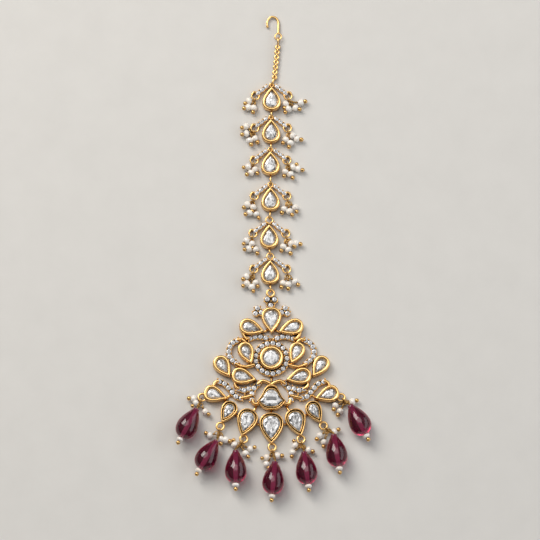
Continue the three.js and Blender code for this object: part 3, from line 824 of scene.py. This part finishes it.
PEARL_RIDGE = 0.022
PEARL_RIDGES = 8.0
PEARL_DIMPLE = 0.16
PEARL_LIFT = 0.13
PEARL_SQUASH = 0.9
END_PEARL_SQUASH = 0.72
END_PEARL_GAP = 0.08
END_BALL_GAP = 0.45
PIN_END = 0.34
SHANK_WIRE = 0.24
EYE_LEAN = 12

# Coils of thin wire: radius, half the thickness of the wire, and turns.
PIN_COIL = (0.28, 0.12, 2.5)
SHANK_COIL = (0.38, 0.14, 4)
LITTLE_RING = {"radius": 0.6, "step": 1.15, "tilt": 35}
BEAD_SIDES = 64


def add_pearl(bench, centre, radius, axis, squash=PEARL_SQUASH):
    """A seed pearl: a little flattened, uneven and ridged, with a dimple where the pin goes in."""
    rng = bench.rng
    start = rng.uniform(0, TURN)
    swellings = [
        (Vector((rng.gauss(0, 1), rng.gauss(0, 1), rng.gauss(0, 1))).normalized(), rng.uniform(-0.07, 0.07))
        for _ in range(5)
    ]

    def bumps(direction):
        swell = sum(size * max(0.0, direction.dot(way)) ** 3 for way, size in swellings)
        ridge = PEARL_RIDGE * math.sin(PEARL_RIDGES * direction.z + start)
        return swell + ridge - PEARL_DIMPLE * abs(direction.z) ** 24

    size, flatness = radius * rng.uniform(0.93, 1.04), squash * rng.uniform(0.94, 1.05)
    bench.add(ball(centre, size, 22, 16, axis, flatness, bumps))


def coil(start, end, radius, wire, turns):
    """A wire wrapped round a pin between two places."""
    start, end = Vector(start), Vector(end)
    along = (end - start).normalized()
    side = along.orthogonal().normalized()
    other = along.cross(side)
    count = round(turns * 12)
    line = []
    for share in (k / count for k in range(count + 1)):
        angle = TURN * turns * share
        line.append(start.lerp(end, share) + radius * (math.cos(angle) * side + math.sin(angle) * other))
    return tube(line, wire, 6)


def add_little_rings(wires, start, along, reach, wire):
    """Little rings linked in a line, nearly flat so that they show open. Returns the end of the line."""
    radius = LITTLE_RING["radius"]
    count = max(1, round(reach / LITTLE_RING["step"]))
    for k in range(count):
        tilt = math.radians(wires.rng.uniform(-1, 1) * LITTLE_RING["tilt"] + (90 if k % 2 else 0))
        across = Matrix.Rotation(tilt, 3, along) @ along.cross(Vector((0, 0, 1))).normalized()
        middle = start + along * ((k + 0.5) * reach / count)
        wires.add(tube(oval(middle, along, across, radius + 0.1, radius, 18), wire, 7, closed=True))
    return start + along * reach


def add_bunch(wires, pearls, loop, reach, rows, eye_bearing, size):
    """Seed pearls on pins that hang by little rings from one eye in a flat loop, of radius reach."""
    eye = raised(polar(loop, eye_bearing, reach), LOOP_HEIGHT)
    outward = heading(eye_bearing)
    wires.add(tube(oval(eye, outward, (0, 0, 1), EYE_RADIUS, EYE_RADIUS), EYE_WIRE, 10, closed=True))
    foot = eye + outward * EYE_RADIUS
    for bearing, distance, ball_bearing in rows:
        centre = raised(polar(loop, bearing, distance), size.pearl + PEARL_LIFT)
        along = (centre - foot).normalized()
        free = (centre - foot).length - size.pearl
        neck = add_little_rings(wires, foot, along, max(0.9, free - 0.5), size.pin)
        wires.add(coil(neck - along * 0.1, neck + along * 0.5, *PIN_COIL))
        ball_way = heading(ball_bearing, 0.12)
        end = centre + ball_way.normalized() * (size.pearl + PIN_END)
        wires.add(tube(smooth_line([neck, centre, end]), size.pin, 8))
        wires.add(ball(end, size.ball * wires.rng.uniform(0.92, 1.06), 14, 9), finish=1)
        add_pearl(pearls, centre, size.pearl, ball_way + along * 0.6)


def bead_profile(count):
    """Radius and distance from the narrow top of a drop-shaped bead, as a pear turned about its axis."""
    first, last = math.cos(BEAD["tip"]), math.cos(BEAD["end"])
    rows = []
    for k in range(count + 1):
        t = BEAD["tip"] + (BEAD["end"] - BEAD["tip"]) * k / count
        radius = BEAD["width"] / 2 / fullness(1.0) * math.sin(t) * math.sin(t / 2)
        rows.append((max(radius, BEAD["lip"]), BEAD["length"] * (first - math.cos(t)) / (first - last)))
    return rows


def add_bead(bench, drop):
    """A drilled glass drop lying on its side. The drilled wall has the second finish."""
    swell = waver(bench.rng, BEAD["swell"])
    profile = bead_profile(36)
    (top, _), (foot, end) = profile[0], profile[-1]
    bore = BEAD["bore"]
    outside = [(bore + 0.08, 0.0), (bore + 0.2, -0.06), (top - 0.2, -0.08), (top, 0.04), *profile[1:-1]]
    outside += [(foot, end - 0.04), (foot - 0.2, end + 0.05), (bore + 0.12, end + 0.03), (bore + 0.02, end)]
    inside = [(bore, end * (1 - k / 8)) for k in range(9)]
    way = heading(drop.bearing)
    start = raised(drop.top, BEAD["axis"])
    rings = []
    for row, (radius, distance) in enumerate(outside + inside):
        uneven = row < len(outside)
        ring = []
        for k, (a, b) in enumerate(around(BEAD_SIDES)):
            reach = radius * (1 + uneven * (swell(TURN * k / BEAD_SIDES) - BEAD["swell"]))
            ring.append(start + way * distance + crosswise(way) * (reach * a) + Vector((0, 0, reach * b)))
        rings.append(ring)
    bench.add(skin(rings, closed=True), finish=lambda k: k >= (len(outside) - 1) * BEAD_SIDES)


# --- Materials ---


def feed(tree, node, values):
    """Feeds a node's inputs, each with another node's output or a plain number or colour."""
    for label, value in values.items():
        socket = node.inputs[label]
        if isinstance(value, bpy.types.NodeSocket):
            tree.links.new(value, socket)
        else:
            socket.default_value = (*value, 1.0) if socket.type == "RGBA" else value


def add_node(tree, kind, values, **settings):
    node = tree.nodes.new(kind)
    for name, value in settings.items():
        setattr(node, name, value)
    feed(tree, node, values)
    return node


def object_place(tree):
    return tree.nodes.new("ShaderNodeTexCoord").outputs["Object"]


def noise(tree, place, scale, detail, rough):
    values = {"Vector": place, "Scale": scale, "Detail": detail, "Roughness": rough}
    return add_node(tree, "ShaderNodeTexNoise", values).outputs["Fac"]


def stretch(tree, place, values):
    return add_node(tree, "ShaderNodeMapping", {"Vector": place, **values}).outputs["Vector"]


def spread(tree, value, low, high, to_low=0.0, to_high=1.0):
    """Maps a value from one range to another."""
    values = {"Value": value, "From Min": low, "From Max": high, "To Min": to_low, "To Max": to_high}
    return add_node(tree, "ShaderNodeMapRange", values).outputs["Result"]


def blend(tree, share, first, second):
    """Mixes two colours, each a socket or a plain colour."""
    return add_node(tree, "ShaderNodeMix", {0: share, 6: first, 7: second}, data_type="RGBA").outputs[2]


def reckon(tree, operation, first, second):
    """A sum on two values, each a socket or a number."""
    return add_node(tree, "ShaderNodeMath", {0: first, 1: second}, operation=operation).outputs[0]


def weighed(tree, first, first_weight, second, second_weight):
    """Two values added together, each times its weight."""
    first = reckon(tree, "MULTIPLY", first, first_weight)
    return reckon(tree, "ADD", first, reckon(tree, "MULTIPLY", second, second_weight))


def new_effect(name, values):
    """A shader node group that gives a colour, a roughness and a height, with its input and output nodes.

    values names its inputs, with the colour or number that each starts from.
    """
    group = bpy.data.node_groups.new(name, "ShaderNodeTree")
    for label, value in values.items():
        kind = "NodeSocketColor" if isinstance(value, tuple) else "NodeSocketFloat"
        socket = group.interface.new_socket(label, in_out="INPUT", socket_type=kind)
        socket.default_value = (*value, 1.0) if isinstance(value, tuple) else value
    for label, kind in (("Colour", "Color"), ("Roughness", "Float"), ("Height", "Float")):
        group.interface.new_socket(label, in_out="OUTPUT", socket_type=f"NodeSocket{kind}")
    return group, group.nodes.new("NodeGroupInput").outputs, group.nodes.new("NodeGroupOutput")


def worn_and_shaded_metal_group():
    """Plated metal: painted shade in its corners and recesses, patchy polish, fine scratches and a
    hand-pressed surface.
    """
    values = {"Clean": (0.8, 0.5, 0.2), "Old": (0.2, 0.1, 0.02), "Grime": 1.0}
    group, given, out = new_effect("Worn metal", {**values, "Low Roughness": 0.2, "High Roughness": 0.4})
    place = object_place(group)
    patches = noise(group, place, 260, 4.0, 0.6)
    pressed = noise(group, place, 900, 2.0, 0.5)
    drawn_out = stretch(group, place, {"Rotation": (0.3, 0.2, 0.6), "Scale": (1.0, 9.0, 3.0)})
    scratches = noise(group, drawn_out, 1500, 5.0, 0.7)
    # Painted shade: an ambient occlusion mask darkens corners and recesses towards the shade colour, more in
    # some random patches than in others.
    corner = add_node(group, "ShaderNodeAmbientOcclusion", {"Distance": 0.0009}, samples=6)
    shut_in = spread(group, corner.outputs["AO"], 0.25, 0.85, 1.0, 0.0)
    painted_shade = reckon(group, "MULTIPLY", shut_in, spread(group, patches, 0.3, 0.6, 0.75, 1.15))
    share = reckon(group, "MINIMUM", reckon(group, "MULTIPLY", painted_shade, given["Grime"]), 1.0)
    warm = blend(group, spread(group, patches, 0.35, 0.7, 0.0, 0.22), given["Clean"], (0.72, 0.38, 0.11))
    polish = weighed(group, patches, 0.6, scratches, 0.4)
    rough = spread(group, polish, 0.32, 0.68, given["Low Roughness"], given["High Roughness"])
    values = {
        "Colour": blend(group, share, warm, given["Old"]),
        "Roughness": reckon(group, "ADD", rough, reckon(group, "MULTIPLY", share, 0.18)),
        "Height": weighed(group, pressed, 0.8, scratches, 0.25),
    }
    feed(group, out, values)
    return group


def foil_group():
    """Silver foil seen through a stone: mottled, crinkled and darker where a facet throws it so."""
    values = {"Light": (0.8, 0.8, 0.8), "Shadow": (0.2, 0.2, 0.2), "Scale": 1100.0, "Contrast": 1.0}
    group, given, out = new_effect("Foiled stone", values)
    place = object_place(group)
    facet = add_node(group, "ShaderNodeAttribute", {}, attribute_name="facet_shade").outputs["Fac"]
    crinkle = add_node(group, "ShaderNodeTexVoronoi", {"Vector": place, "Scale": given["Scale"]}).outputs
    cell = add_node(group, "ShaderNodeSeparateColor", {"Color": crinkle["Color"]}).outputs["Red"]
    mottle = noise(group, place, 1300, 3.0, 0.6)
    streaks = noise(group, stretch(group, place, {"Scale": (1.0, 0.35, 1.0)}), 2600, 2.0, 0.5)
    shade = spread(group, mottle, 0.3, 0.62, -0.3, 0.2)
    shade = reckon(group, "ADD", shade, spread(group, streaks, 0.35, 0.65, -0.22, 0.12))
    shade = reckon(group, "ADD", shade, spread(group, cell, 0.0, 1.0, -0.18, 0.1))
    # The facet shade adds painted reflections to the foil's own mottle.
    shade = reckon(group, "ADD", reckon(group, "MULTIPLY", shade, given["Contrast"]), facet)
    values = {
        "Colour": blend(group, spread(group, shade, 0.0, 1.0), given["Shadow"], given["Light"]),
        "Roughness": spread(group, mottle, 0.3, 0.7, 0.12, 0.34),
        "Height": weighed(group, crinkle["Distance"], 1.0, streaks, 0.5),
    }
    feed(group, out, values)
    return group


def new_material(name, values):
    """A material's node tree and its Principled shader, with plain values on the shader's own sockets."""
    material = bpy.data.materials.new(name)
    material.use_nodes = True
    tree = material.node_tree
    shader = tree.nodes["Principled BSDF"]
    feed(tree, shader, values)
    return material, tree, shader


def dress(tree, shader, colour, rough, height, distance, strength):
    """Feeds a shader its colour, its roughness and a bump of a depth in metres."""
    values = {"Height": height, "Distance": distance, "Strength": strength}
    bump = add_node(tree, "ShaderNodeBump", values).outputs["Normal"]
    feed(tree, shader, {"Base Color": colour, "Roughness": rough, "Normal": bump})


def effect_material(name, group, values, plain, distance):
    """A material dressed by a shared effect, which is placed in it with its own values."""
    material, tree, shader = new_material(name, plain)
    effect = add_node(tree, "ShaderNodeGroup", values, node_tree=group).outputs
    dress(tree, shader, effect["Colour"], effect["Roughness"], effect["Height"], distance, 0.5)
    return material


def metal_material(name, group, unshaded, shade_tone, shade_amount, low, high):
    """Plated metal, from the shared effect of wear and painted shade."""
    values = {"Clean": unshaded, "Old": shade_tone, "Grime": shade_amount, "Low Roughness": low, "High Roughness": high}
    return effect_material(name, group, values, {"Metallic": 1.0}, 0.00005)


def foil_material(name, group, light, shadow, scale, contrast, metallic):
    """A foiled stone: crinkled silver under a clear polished top."""
    plain = {"Metallic": metallic, "Coat Weight": 1.0, "Coat Roughness": 0.02, "Coat IOR": 1.7}
    values = {"Light": light, "Shadow": shadow, "Scale": scale, "Contrast": contrast}
    return effect_material(name, group, values, plain, 0.00012)


def pearl_material(body):
    """Seed pearl: a pale body with faint creamy clouds and growth rings."""
    plain = {"Metallic": 0.0, "Coat Weight": 0.8, "Coat Roughness": 0.1, "Subsurface Weight": 0.06}
    plain |= {"Subsurface Radius": (0.6, 0.45, 0.35), "Subsurface Scale": 0.0008}
    material, tree, shader = new_material("Seed pearl", plain)
    place = object_place(tree)
    clouds = noise(tree, place, 420, 3.0, 0.6)
    rings = noise(tree, place, 1900, 3.0, 0.6)
    creamy = tuple(part * share for part, share in zip(body, (1.05, 0.96, 0.86)))
    tint = blend(tree, spread(tree, clouds, 0.35, 0.65), body, creamy)
    tint = blend(tree, spread(tree, rings, 0.45, 0.75, 0.0, 0.35), tint, tuple(part * 0.55 for part in body))
    dress(tree, shader, tint, spread(tree, rings, 0.3, 0.7, 0.22, 0.42), rings, 0.0001, 0.7)
    return material


def ruby_material(thin, thick):
    """Clear wine-red glass, brighter at the edges it turns away at: partly thinner glass there, partly a
    painted glow of light refracted at the rims.
    """
    plain = {"Metallic": 0.0, "Transmission Weight": 0.8, "IOR": 1.5}
    plain |= {"Coat Weight": 0.15, "Coat Roughness": 0.08}
    material, tree, shader = new_material("Ruby glass", plain)
    place = object_place(tree)
    clouds = noise(tree, place, 140, 2.0, 0.5)
    swirl = noise(tree, place, 700, 2.0, 0.5)
    # Painted glow: the edges turned from the view take the brighter ruby, partly for the thinner glass and
    # partly for light refracted at the rims.
    facing = add_node(tree, "ShaderNodeLayerWeight", {"Blend": 0.5}).outputs["Facing"]
    edge = spread(tree, facing, 0.4, 0.85)
    edge = reckon(tree, "MULTIPLY", edge, spread(tree, clouds, 0.3, 0.7, 0.75, 1.1))
    colour = blend(tree, edge, thick, thin)
    dress(tree, shader, colour, spread(tree, swirl, 0.3, 0.7, 0.05, 0.13), clouds, 0.00015, 0.35)
    return material


def glowing_drilled_material():
    """The frosted wall of the hole through a glass drop, with a painted pink glow."""
    # Painted glow: a faint pink emission stands in for light scattered in the frosted bore.
    plain = {"Metallic": 0.0, "Transmission Weight": 0.0, "Emission Strength": 0.22}
    material, tree, shader = new_material("Drilled glass", {**plain, "Emission Color": (0.9, 0.58, 0.66)})
    frost = noise(tree, object_place(tree), 3000, 3.0, 0.6)
    colour = blend(tree, spread(tree, frost, 0.3, 0.7), (0.5, 0.28, 0.35), (0.72, 0.5, 0.57))
    dress(tree, shader, colour, spread(tree, frost, 0.3, 0.7, 0.45, 0.7), frost, 0.00004, 0.8)
    return material


def floor_material(base):
    """A plain pale floor with the faintest mottling."""
    material, tree, shader = new_material("Studio floor", {"Metallic": 0.0})
    fine = noise(tree, object_place(tree), 90, 4.0, 0.6)
    colour = blend(tree, spread(tree, fine, 0.3, 0.7), base, tuple(part * 0.97 for part in base))
    feed(tree, shader, {"Base Color": colour, "Roughness": spread(tree, fine, 0.3, 0.7, 0.7, 0.82)})
    return material


# --- Operators ---

# The user's sizes as plain numbers, in millimetres.
Sizes = namedtuple("Sizes", "melee grain pearl ball pin points")


class WorkOperator:
    """What the making operators share."""

    bl_options = {"REGISTER"}

    def execute(self, context):
        size = context.scene.tikka_sizes
        radii = (size.melee_radius, size.grain_radius, size.pearl_radius, size.ball_radius, size.pin_wire)
        self.make(Sizes(*(radius / MM for radius in radii), size.outline_points))
        return {"FINISHED"}


class TIKKA_OT_materials(WorkOperator, bpy.types.Operator):
    """Make every material and shared effect"""

    bl_idname = "tikka.materials"
    bl_label = "Mix the materials"

    def make(self, size):
        group = bpy.context.scene.tikka_colours
        colour = {name: tuple(getattr(group, name)) for name in TikkaColours.__annotations__}
        metal, foil = worn_and_shaded_metal_group(), foil_group()
        shade_tone, light, deep_facet_shadow = colour["old_gold"], colour["foil"], (0.03, 0.03, 0.032)
        # Each metal: key, name, colour, painted shade colour and amount, and low and high roughness.
        metals = (
            ("gold", "Pressed gold", colour["gold"], shade_tone, 0.8, 0.17, 0.32),
            ("bright", "Rubbed gold", colour["gold"], shade_tone, 0.35, 0.15, 0.28),
            ("ball", "Ball gold", (0.76, 0.48, 0.18), shade_tone, 0.8, 0.2, 0.36),
            ("black", "Blackened gold", colour["black"], (0.01, 0.006, 0.004), 1.0, 0.4, 0.6),
            ("wire", "Antique gold wire", (0.56, 0.36, 0.13), shade_tone, 1.3, 0.26, 0.46),
        )
        # Each foil: key, name, the foil's colour, the dark of its painted facet reflections, crinkle scale,
        # contrast and metallic.
        foils = (
            ("polki", "Foiled polki", light, colour["foil_shadow"], 900.0, 1.7, 0.45),
            ("clear", "Foiled brilliant", light, deep_facet_shadow, 1500.0, 0.9, 0.5),
            ("melee", "Melee brilliant", (0.9, 0.92, 0.96), (0.05, 0.05, 0.06), 2500.0, 0.3, 0.15),
        )
        for key, name, *values in metals:
            MATERIALS[key] = metal_material(name, metal, *values)
        for key, name, *values in foils:
            MATERIALS[key] = foil_material(name, foil, *values)
        MATERIALS["pearl"] = pearl_material(colour["pearl"])
        MATERIALS["ruby"] = ruby_material(colour["ruby"], colour["ruby_deep"])
        MATERIALS["drilled"] = glowing_drilled_material()
        MATERIALS["floor"] = floor_material(colour["floor"])


class TIKKA_OT_pendant(WorkOperator, bpy.types.Operator):
    """Make the pendant's settings, scrolls, halo, trefoils and loops, with the stones of its paved work"""

    bl_idname = "tikka.pendant"
    bl_label = "Make the pendant"

    def make(self, size):
        cups = Bench("pendant_settings")
        for setting, _, outline in placed_pears():
            add_setting(cups, outline, setting.rim, size.points)
        add_setting(cups, centre_outline, "rolled", size.points)
        add_setting(cups, bell_outline, "double", size.points)
        for centre in (TOP_LOOP, *(drop.loop for drop in DROPS)):
            cups.add(flat_loop(centre, LOOP_RADIUS))
        cups.piece("gold", ("gold", "black"), "pendant_frame")

        work, gems = Bench("pendant_scrolls"), Bench("pendant_melee")
        for scroll in PAVED_SCROLLS:
            for side in SIDES:
                track = Track(smooth_line(half_placed(scroll.line, side)))
                add_strip(work, track, PAVED_WIDTH, SEAT_SECTION, PAVED_WIDTH / 2, SEAT_DARK)
                pave(work, gems, track, PAVED_WIDTH, scroll.stones, size)
        for scroll in PLAIN_SCROLLS:
            for side in SIDES:
                track = Track(smooth_line(half_placed(scroll, side)))
                add_strip(work, track, PLAIN_WIDTH, WIRE_SECTION, PLAIN_OVERHANG)
        for bridge in BRIDGES:
            for side in SIDES:
                line = [raised(place, BRIDGE_HEIGHT) for place in half_placed(bridge, side)]
                work.add(tube(line, BRIDGE_WIRE))
        add_halo(work, gems, size)
        for trefoil in TREFOILS:
            add_trefoil(work, gems, trefoil, size)
        work.piece("gold", ("gold", "black", "bright"), "pendant_frame")
        gems.piece("polki_stone", ("melee",))


class TIKKA_OT_stones(WorkOperator, bpy.types.Operator):
    """Make the large stones of the pendant and the stations"""

    bl_idname = "tikka.stones"
    bl_label = "Cut the stones"

    def make(self, size):
        for setting, node, outline in placed_pears():
            self.cut(node, outline, setting)
        self.cut("stone_centre", centre_outline, STATION_SETTING._replace(rim="rolled"))
        self.cut("stone_bell", bell_outline, SETTINGS[-1], BELL_STEPS)
        for number in range(1, STATIONS + 1):
            node = f"station_{number}_stone"
            self.cut(node, placed_pear(STATION_SETTING, STATION_SETTING.turn, node), STATION_SETTING)

    @staticmethod
    def cut(node, outline, setting, steps=()):
        bench = Bench(f"{node}_cut")
        add_cut_stone(bench, outline, CUTS[setting.cut], STONE_EDGES[setting.rim])
        for step in steps:
            add_step(bench, step)
        bench.piece("polki_stone", ("clear" if setting.cut == "brilliant" else "polki",), node)


class TIKKA_OT_stations(WorkOperator, bpy.types.Operator):
    """Make the frame of each station, with the stones of its paved wings"""

    bl_idname = "tikka.stations"
    bl_label = "Make the stations"

    def make(self, size):
        for number, head in enumerate(HEAD_LOOPS, 1):
            self.station(number, head, size)

    @staticmethod
    def station(number, head, size):
        x, y = place = station_place(number)
        gold, gems = Bench(f"station_{number}_setting"), Bench(f"station_{number}_melee")
        outline = placed_pear(STATION_SETTING, STATION_SETTING.turn, f"station_{number}_stone")
        add_setting(gold, outline, STATION_SETTING.rim, size.points)
        for side in SIDES:
            track = Track(smooth_line(half_placed(WING_STONES, side, place)))
            add_strip(gold, track, WING_WIDTH, SEAT_SECTION, WING_WIDTH / 2, SEAT_DARK)
            pave(gold, gems, track, WING_WIDTH, len(WING_STONES), size, stretch=WING_STONE_STRETCH)
            for line in (WING_HEAD, WING_TAIL):
                track = Track(smooth_line(half_placed(line, side, place)))
                add_strip(gold, track, WING_TAIL_WIDTH, WING_WIRE_SECTION)
            gold.add(flat_loop((x - side * WING_RING[0], y + WING_RING[1]), RING_RADIUS, RING_WIRE))
        gold.add(flat_loop((x, y + head.up), head.radius, RING_WIRE))
        hold = head_hold(number + 1) if number < STATIONS else TOP_LOOP_HOLD
        gold.add(upright_link(hold, (x, y - STATION_SETTING.length / 2 - LINK_REACH)))
        gold.piece("gold", ("gold", "black", "bright"), f"station_{number}_frame")
        gems.piece("polki_stone", ("melee",))


class TIKKA_OT_pearls(WorkOperator, bpy.types.Operator):
    """String the bunches of seed pearls at the stations"""

    bl_idname = "tikka.pearls"
    bl_label = "String the seed pearls"

    def make(self, size):
        for key, rows in BUNCHES.items():
            number, side = key.split("_")
            x, y = station_place(int(number))
            sign = -1 if side == "left" else 1
            loop = (x + sign * WING_RING[0], y + WING_RING[1])
            wires = Bench(f"station_{number}_pins_{side}")
            pearls = Bench(f"station_{number}_seed_pearls_{side}")
            add_bunch(wires, pearls, loop, RING_RADIUS, rows, 270 + sign * EYE_LEAN, size)
            node = f"station_{number}_pearls_{side}"
            wires.piece("gold", ("wire", "ball"), node)
            pearls.piece("seed_pearl", ("pearl",), node)


class TIKKA_OT_drops(WorkOperator, bpy.types.Operator):
    """Make the glass drops with their pins and seed pearls"""

    bl_idname = "tikka.drops"
    bl_label = "Hang the glass drops"

    def make(self, size):
        for number, drop in enumerate(DROPS, 1):
            self.drop(number, drop, size)

    @staticmethod
    def drop(number, drop, size):
        def on_axis(distance):
            """A place on the bead's axis, at a distance from its narrow top."""
            return (*polar(drop.top, drop.bearing, distance), BEAD["axis"])

        wires, pearls = Bench(f"drop_{number}_wires"), Bench(f"drop_{number}_seed_pearls")
        bead = Bench(f"drop_{number}_glass")
        to_bead = math.degrees(math.atan2(drop.top[1] - drop.loop[1], drop.top[0] - drop.loop[0]))
        add_bunch(wires, pearls, drop.loop, LOOP_RADIUS, drop.pearls, to_bead, size)
        foot = (*polar(drop.loop, to_bead, LOOP_RADIUS + EYE_RADIUS), LOOP_HEIGHT)
        neck, inside = on_axis(-0.6), on_axis(1.0)
        half_pearl = END_PEARL_SQUASH * size.pearl
        seat = BEAD["length"] + half_pearl + END_PEARL_GAP
        end_pearl, end_ball = on_axis(seat), on_axis(seat + half_pearl + END_BALL_GAP)
        wires.add(tube(smooth_line([foot, neck, inside, end_pearl, end_ball]), SHANK_WIRE))
        wires.add(coil(foot, Vector(foot).lerp(Vector(neck), 0.8), *SHANK_COIL))
        wires.add(ball(end_ball, size.ball), finish=1)
        add_pearl(pearls, end_pearl, size.pearl, Vector(end_ball) - Vector(end_pearl), END_PEARL_SQUASH)
        add_bead(bead, drop)
        wires.piece("gold", ("wire", "ball"), f"drop_{number}_pin")
        pearls.piece("seed_pearl", ("pearl",), f"drop_{number}_pin")
        bead.piece("ruby_glass", ("ruby", "drilled"), f"drop_{number}_bead")


class TIKKA_OT_chain(WorkOperator, bpy.types.Operator):
    """Link the chain and bend the hair hook"""

    bl_idname = "tikka.chain"
    bl_label = "Link the chain"

    def make(self, size):
        bench = Bench("chain_links")
        track = Track(smooth_line([(*place, CHAIN_HEIGHT) for place in CHAIN_ROUTE]))
        count = round(track.length / CHAIN_PITCH)
        for k in range(count + 1):
            place, along = track.at(track.length * k / count)
            side = Vector((0, 0, 1)) if k % 2 else crosswise(along)
            side = Matrix.Rotation(bench.rng.uniform(-0.1, 0.1), 3, along) @ side
            long_half, short_half, wire = CHAIN_LINKS[k % 2]
            bench.add(tube(oval(place, along, side, long_half, short_half, 20), wire, 10, closed=True))
        (low_x, low_y), (high_x, high_y) = CHAIN_ROUTE[0], CHAIN_ROUTE[-1]
        bench.add(upright_link(head_hold(1), (low_x, low_y - END_LINK_REACH)))
        hold = (HOOK_EYE[0], HOOK_EYE[1] - HOOK_EYE_RADIUS + LINK_HOLD)
        bench.add(upright_link((high_x, high_y + END_LINK_REACH), hold))
        bench.piece("gold", ("gold",), "chain")

        hook = Bench("hook_wire")
        hook.add(flat_loop(HOOK_EYE, HOOK_EYE_RADIUS, RING_WIRE))
        hook.add(tube(smooth_line(HOOK_ROUTE), lambda share: HOOK_WIRE * (1 - HOOK_TAPER * share), 14))
        hook.add(ball(HOOK_ROUTE[-1], HOOK_WIRE * 1.15))
        hook.piece("gold", ("gold",), "hair_hook")


# Lights: where each is and its size in metres, its brightness and its colour.
Softbox = namedtuple("Softbox", "name place width height radiance colour")
SOFTBOXES = (
    Softbox("Overhead", (-0.1, 0.4, 1.15), 0.9, 0.75, 2.0, (1.0, 0.985, 0.96)),
    Softbox("Key", (-0.5, 0.6, 0.75), 0.6, 0.6, 7.0, (1.0, 0.96, 0.9)),
    Softbox("Right side", (0.85, 0.05, 0.42), 1.7, 0.6, 1.4, (0.94, 0.97, 1.0)),
)


def stand(name, data, place, way):
    """Puts a light or a camera at a place, looking one way."""
    made = bpy.data.objects.new(name, data)
    made.location = place
    made.rotation_euler = way.to_track_quat("-Z", "Y").to_euler()
    bpy.context.scene.collection.objects.link(made)
    return made


def add_softbox(box, target):
    """A rectangular light of even brightness that faces the target."""
    lamp = bpy.data.lights.new(box.name, "AREA")
    lamp.shape = "RECTANGLE"
    lamp.size, lamp.size_y = box.width, box.height
    lamp.energy = box.radiance * math.pi * box.width * box.height
    lamp.color = box.colour
    stand(box.name, lamp, box.place, target - Vector(box.place))


class TIKKA_OT_stage(WorkOperator, bpy.types.Operator):
    """Lay the floor, hang the lights and set up the camera"""

    bl_idname = "tikka.stage"
    bl_label = "Set the stage"

    ELEVATION = 75
    VIEW_WIDTH = 0.1782
    AIM = Vector((-0.00046, 0.03047, 0.0))
    DISTANCE = 3.0
    SENSOR = 36.0
    CLIP_END = 20
    FLOOR_HALF = 4.0
    FLOOR_GAP = 0.00002

    def make(self, size):
        scene = bpy.context.scene
        level, half = CAD_BOX[0][2] - self.FLOOR_GAP, self.FLOOR_HALF
        corners = [(x * half, y * half, level) for x, y in ((-1, -1), (1, -1), (1, 1), (-1, 1))]
        mesh = bpy.data.meshes.new("studio_floor")
        mesh.from_pydata(corners, [], [(0, 1, 2, 3)])
        mesh.materials.append(MATERIALS["floor"])
        floor = bpy.data.objects.new("studio_floor", mesh)
        scene.collection.objects.link(floor)

        self.light_world(scene)
        for box in SOFTBOXES:
            add_softbox(box, self.AIM)

        angle = math.radians(self.ELEVATION)
        lens = bpy.data.cameras.new("Camera")
        lens.sensor_width = self.SENSOR
        lens.lens = self.SENSOR * self.DISTANCE / self.VIEW_WIDTH
        lens.clip_end = self.CLIP_END
        away = Vector((0, -math.cos(angle), math.sin(angle)))
        scene.camera = stand("Camera", lens, self.AIM + away * self.DISTANCE, -away)
        scene.view_settings.view_transform = "Standard"

    @staticmethod
    def light_world(scene):
        """A studio that is dim near the floor and lighter overhead."""
        world = bpy.data.worlds.new("Studio")
        world.use_nodes = True
        tree = world.node_tree
        place = tree.nodes.new("ShaderNodeTexCoord").outputs["Generated"]
        up = add_node(tree, "ShaderNodeSeparateXYZ", {"Vector": place}).outputs["Z"]
        shade = blend(tree, spread(tree, up, 0.1, 0.95), (0.05, 0.05, 0.052), (0.26, 0.262, 0.265))
        feed(tree, tree.nodes["Background"], {"Color": shade})
        scene.world = world


class TIKKA_PT_workshop(bpy.types.Panel):
    """Lists the making steps and the sizes and colours they use."""

    bl_idname = "TIKKA_PT_workshop"
    bl_label = "Maang Tikka"
    bl_space_type = "VIEW_3D"
    bl_region_type = "UI"
    bl_category = "Tikka"

    def draw(self, context):
        layout = self.layout
        for operator in OPERATORS:
            layout.operator(operator.bl_idname)
        for title, group in (("Sizes", context.scene.tikka_sizes), ("Colours", context.scene.tikka_colours)):
            column = layout.column(align=True)
            column.label(text=title)
            for name in group.__annotations__:
                column.prop(group, name)


OPERATORS = (
    TIKKA_OT_materials,
    TIKKA_OT_stage,
    TIKKA_OT_pendant,
    TIKKA_OT_stones,
    TIKKA_OT_stations,
    TIKKA_OT_pearls,
    TIKKA_OT_drops,
    TIKKA_OT_chain,
)
CLASSES = (TikkaSizes, TikkaColours, *OPERATORS, TIKKA_PT_workshop)


def register():
    for each in CLASSES:
        bpy.utils.register_class(each)
    bpy.types.Scene.tikka_sizes = PointerProperty(type=TikkaSizes)
    bpy.types.Scene.tikka_colours = PointerProperty(type=TikkaColours)


def unregister():
    del bpy.types.Scene.tikka_colours
    del bpy.types.Scene.tikka_sizes
    for each in reversed(CLASSES):
        bpy.utils.unregister_class(each)


def main():
    """Makes the whole ornament and its stage."""
    register()
    bpy.ops.tikka.materials()
    bpy.ops.tikka.stage()
    bpy.ops.tikka.pendant()
    bpy.ops.tikka.stones()
    bpy.ops.tikka.stations()
    bpy.ops.tikka.pearls()
    bpy.ops.tikka.drops()
    bpy.ops.tikka.chain()


if __name__ == "__main__":
    main()
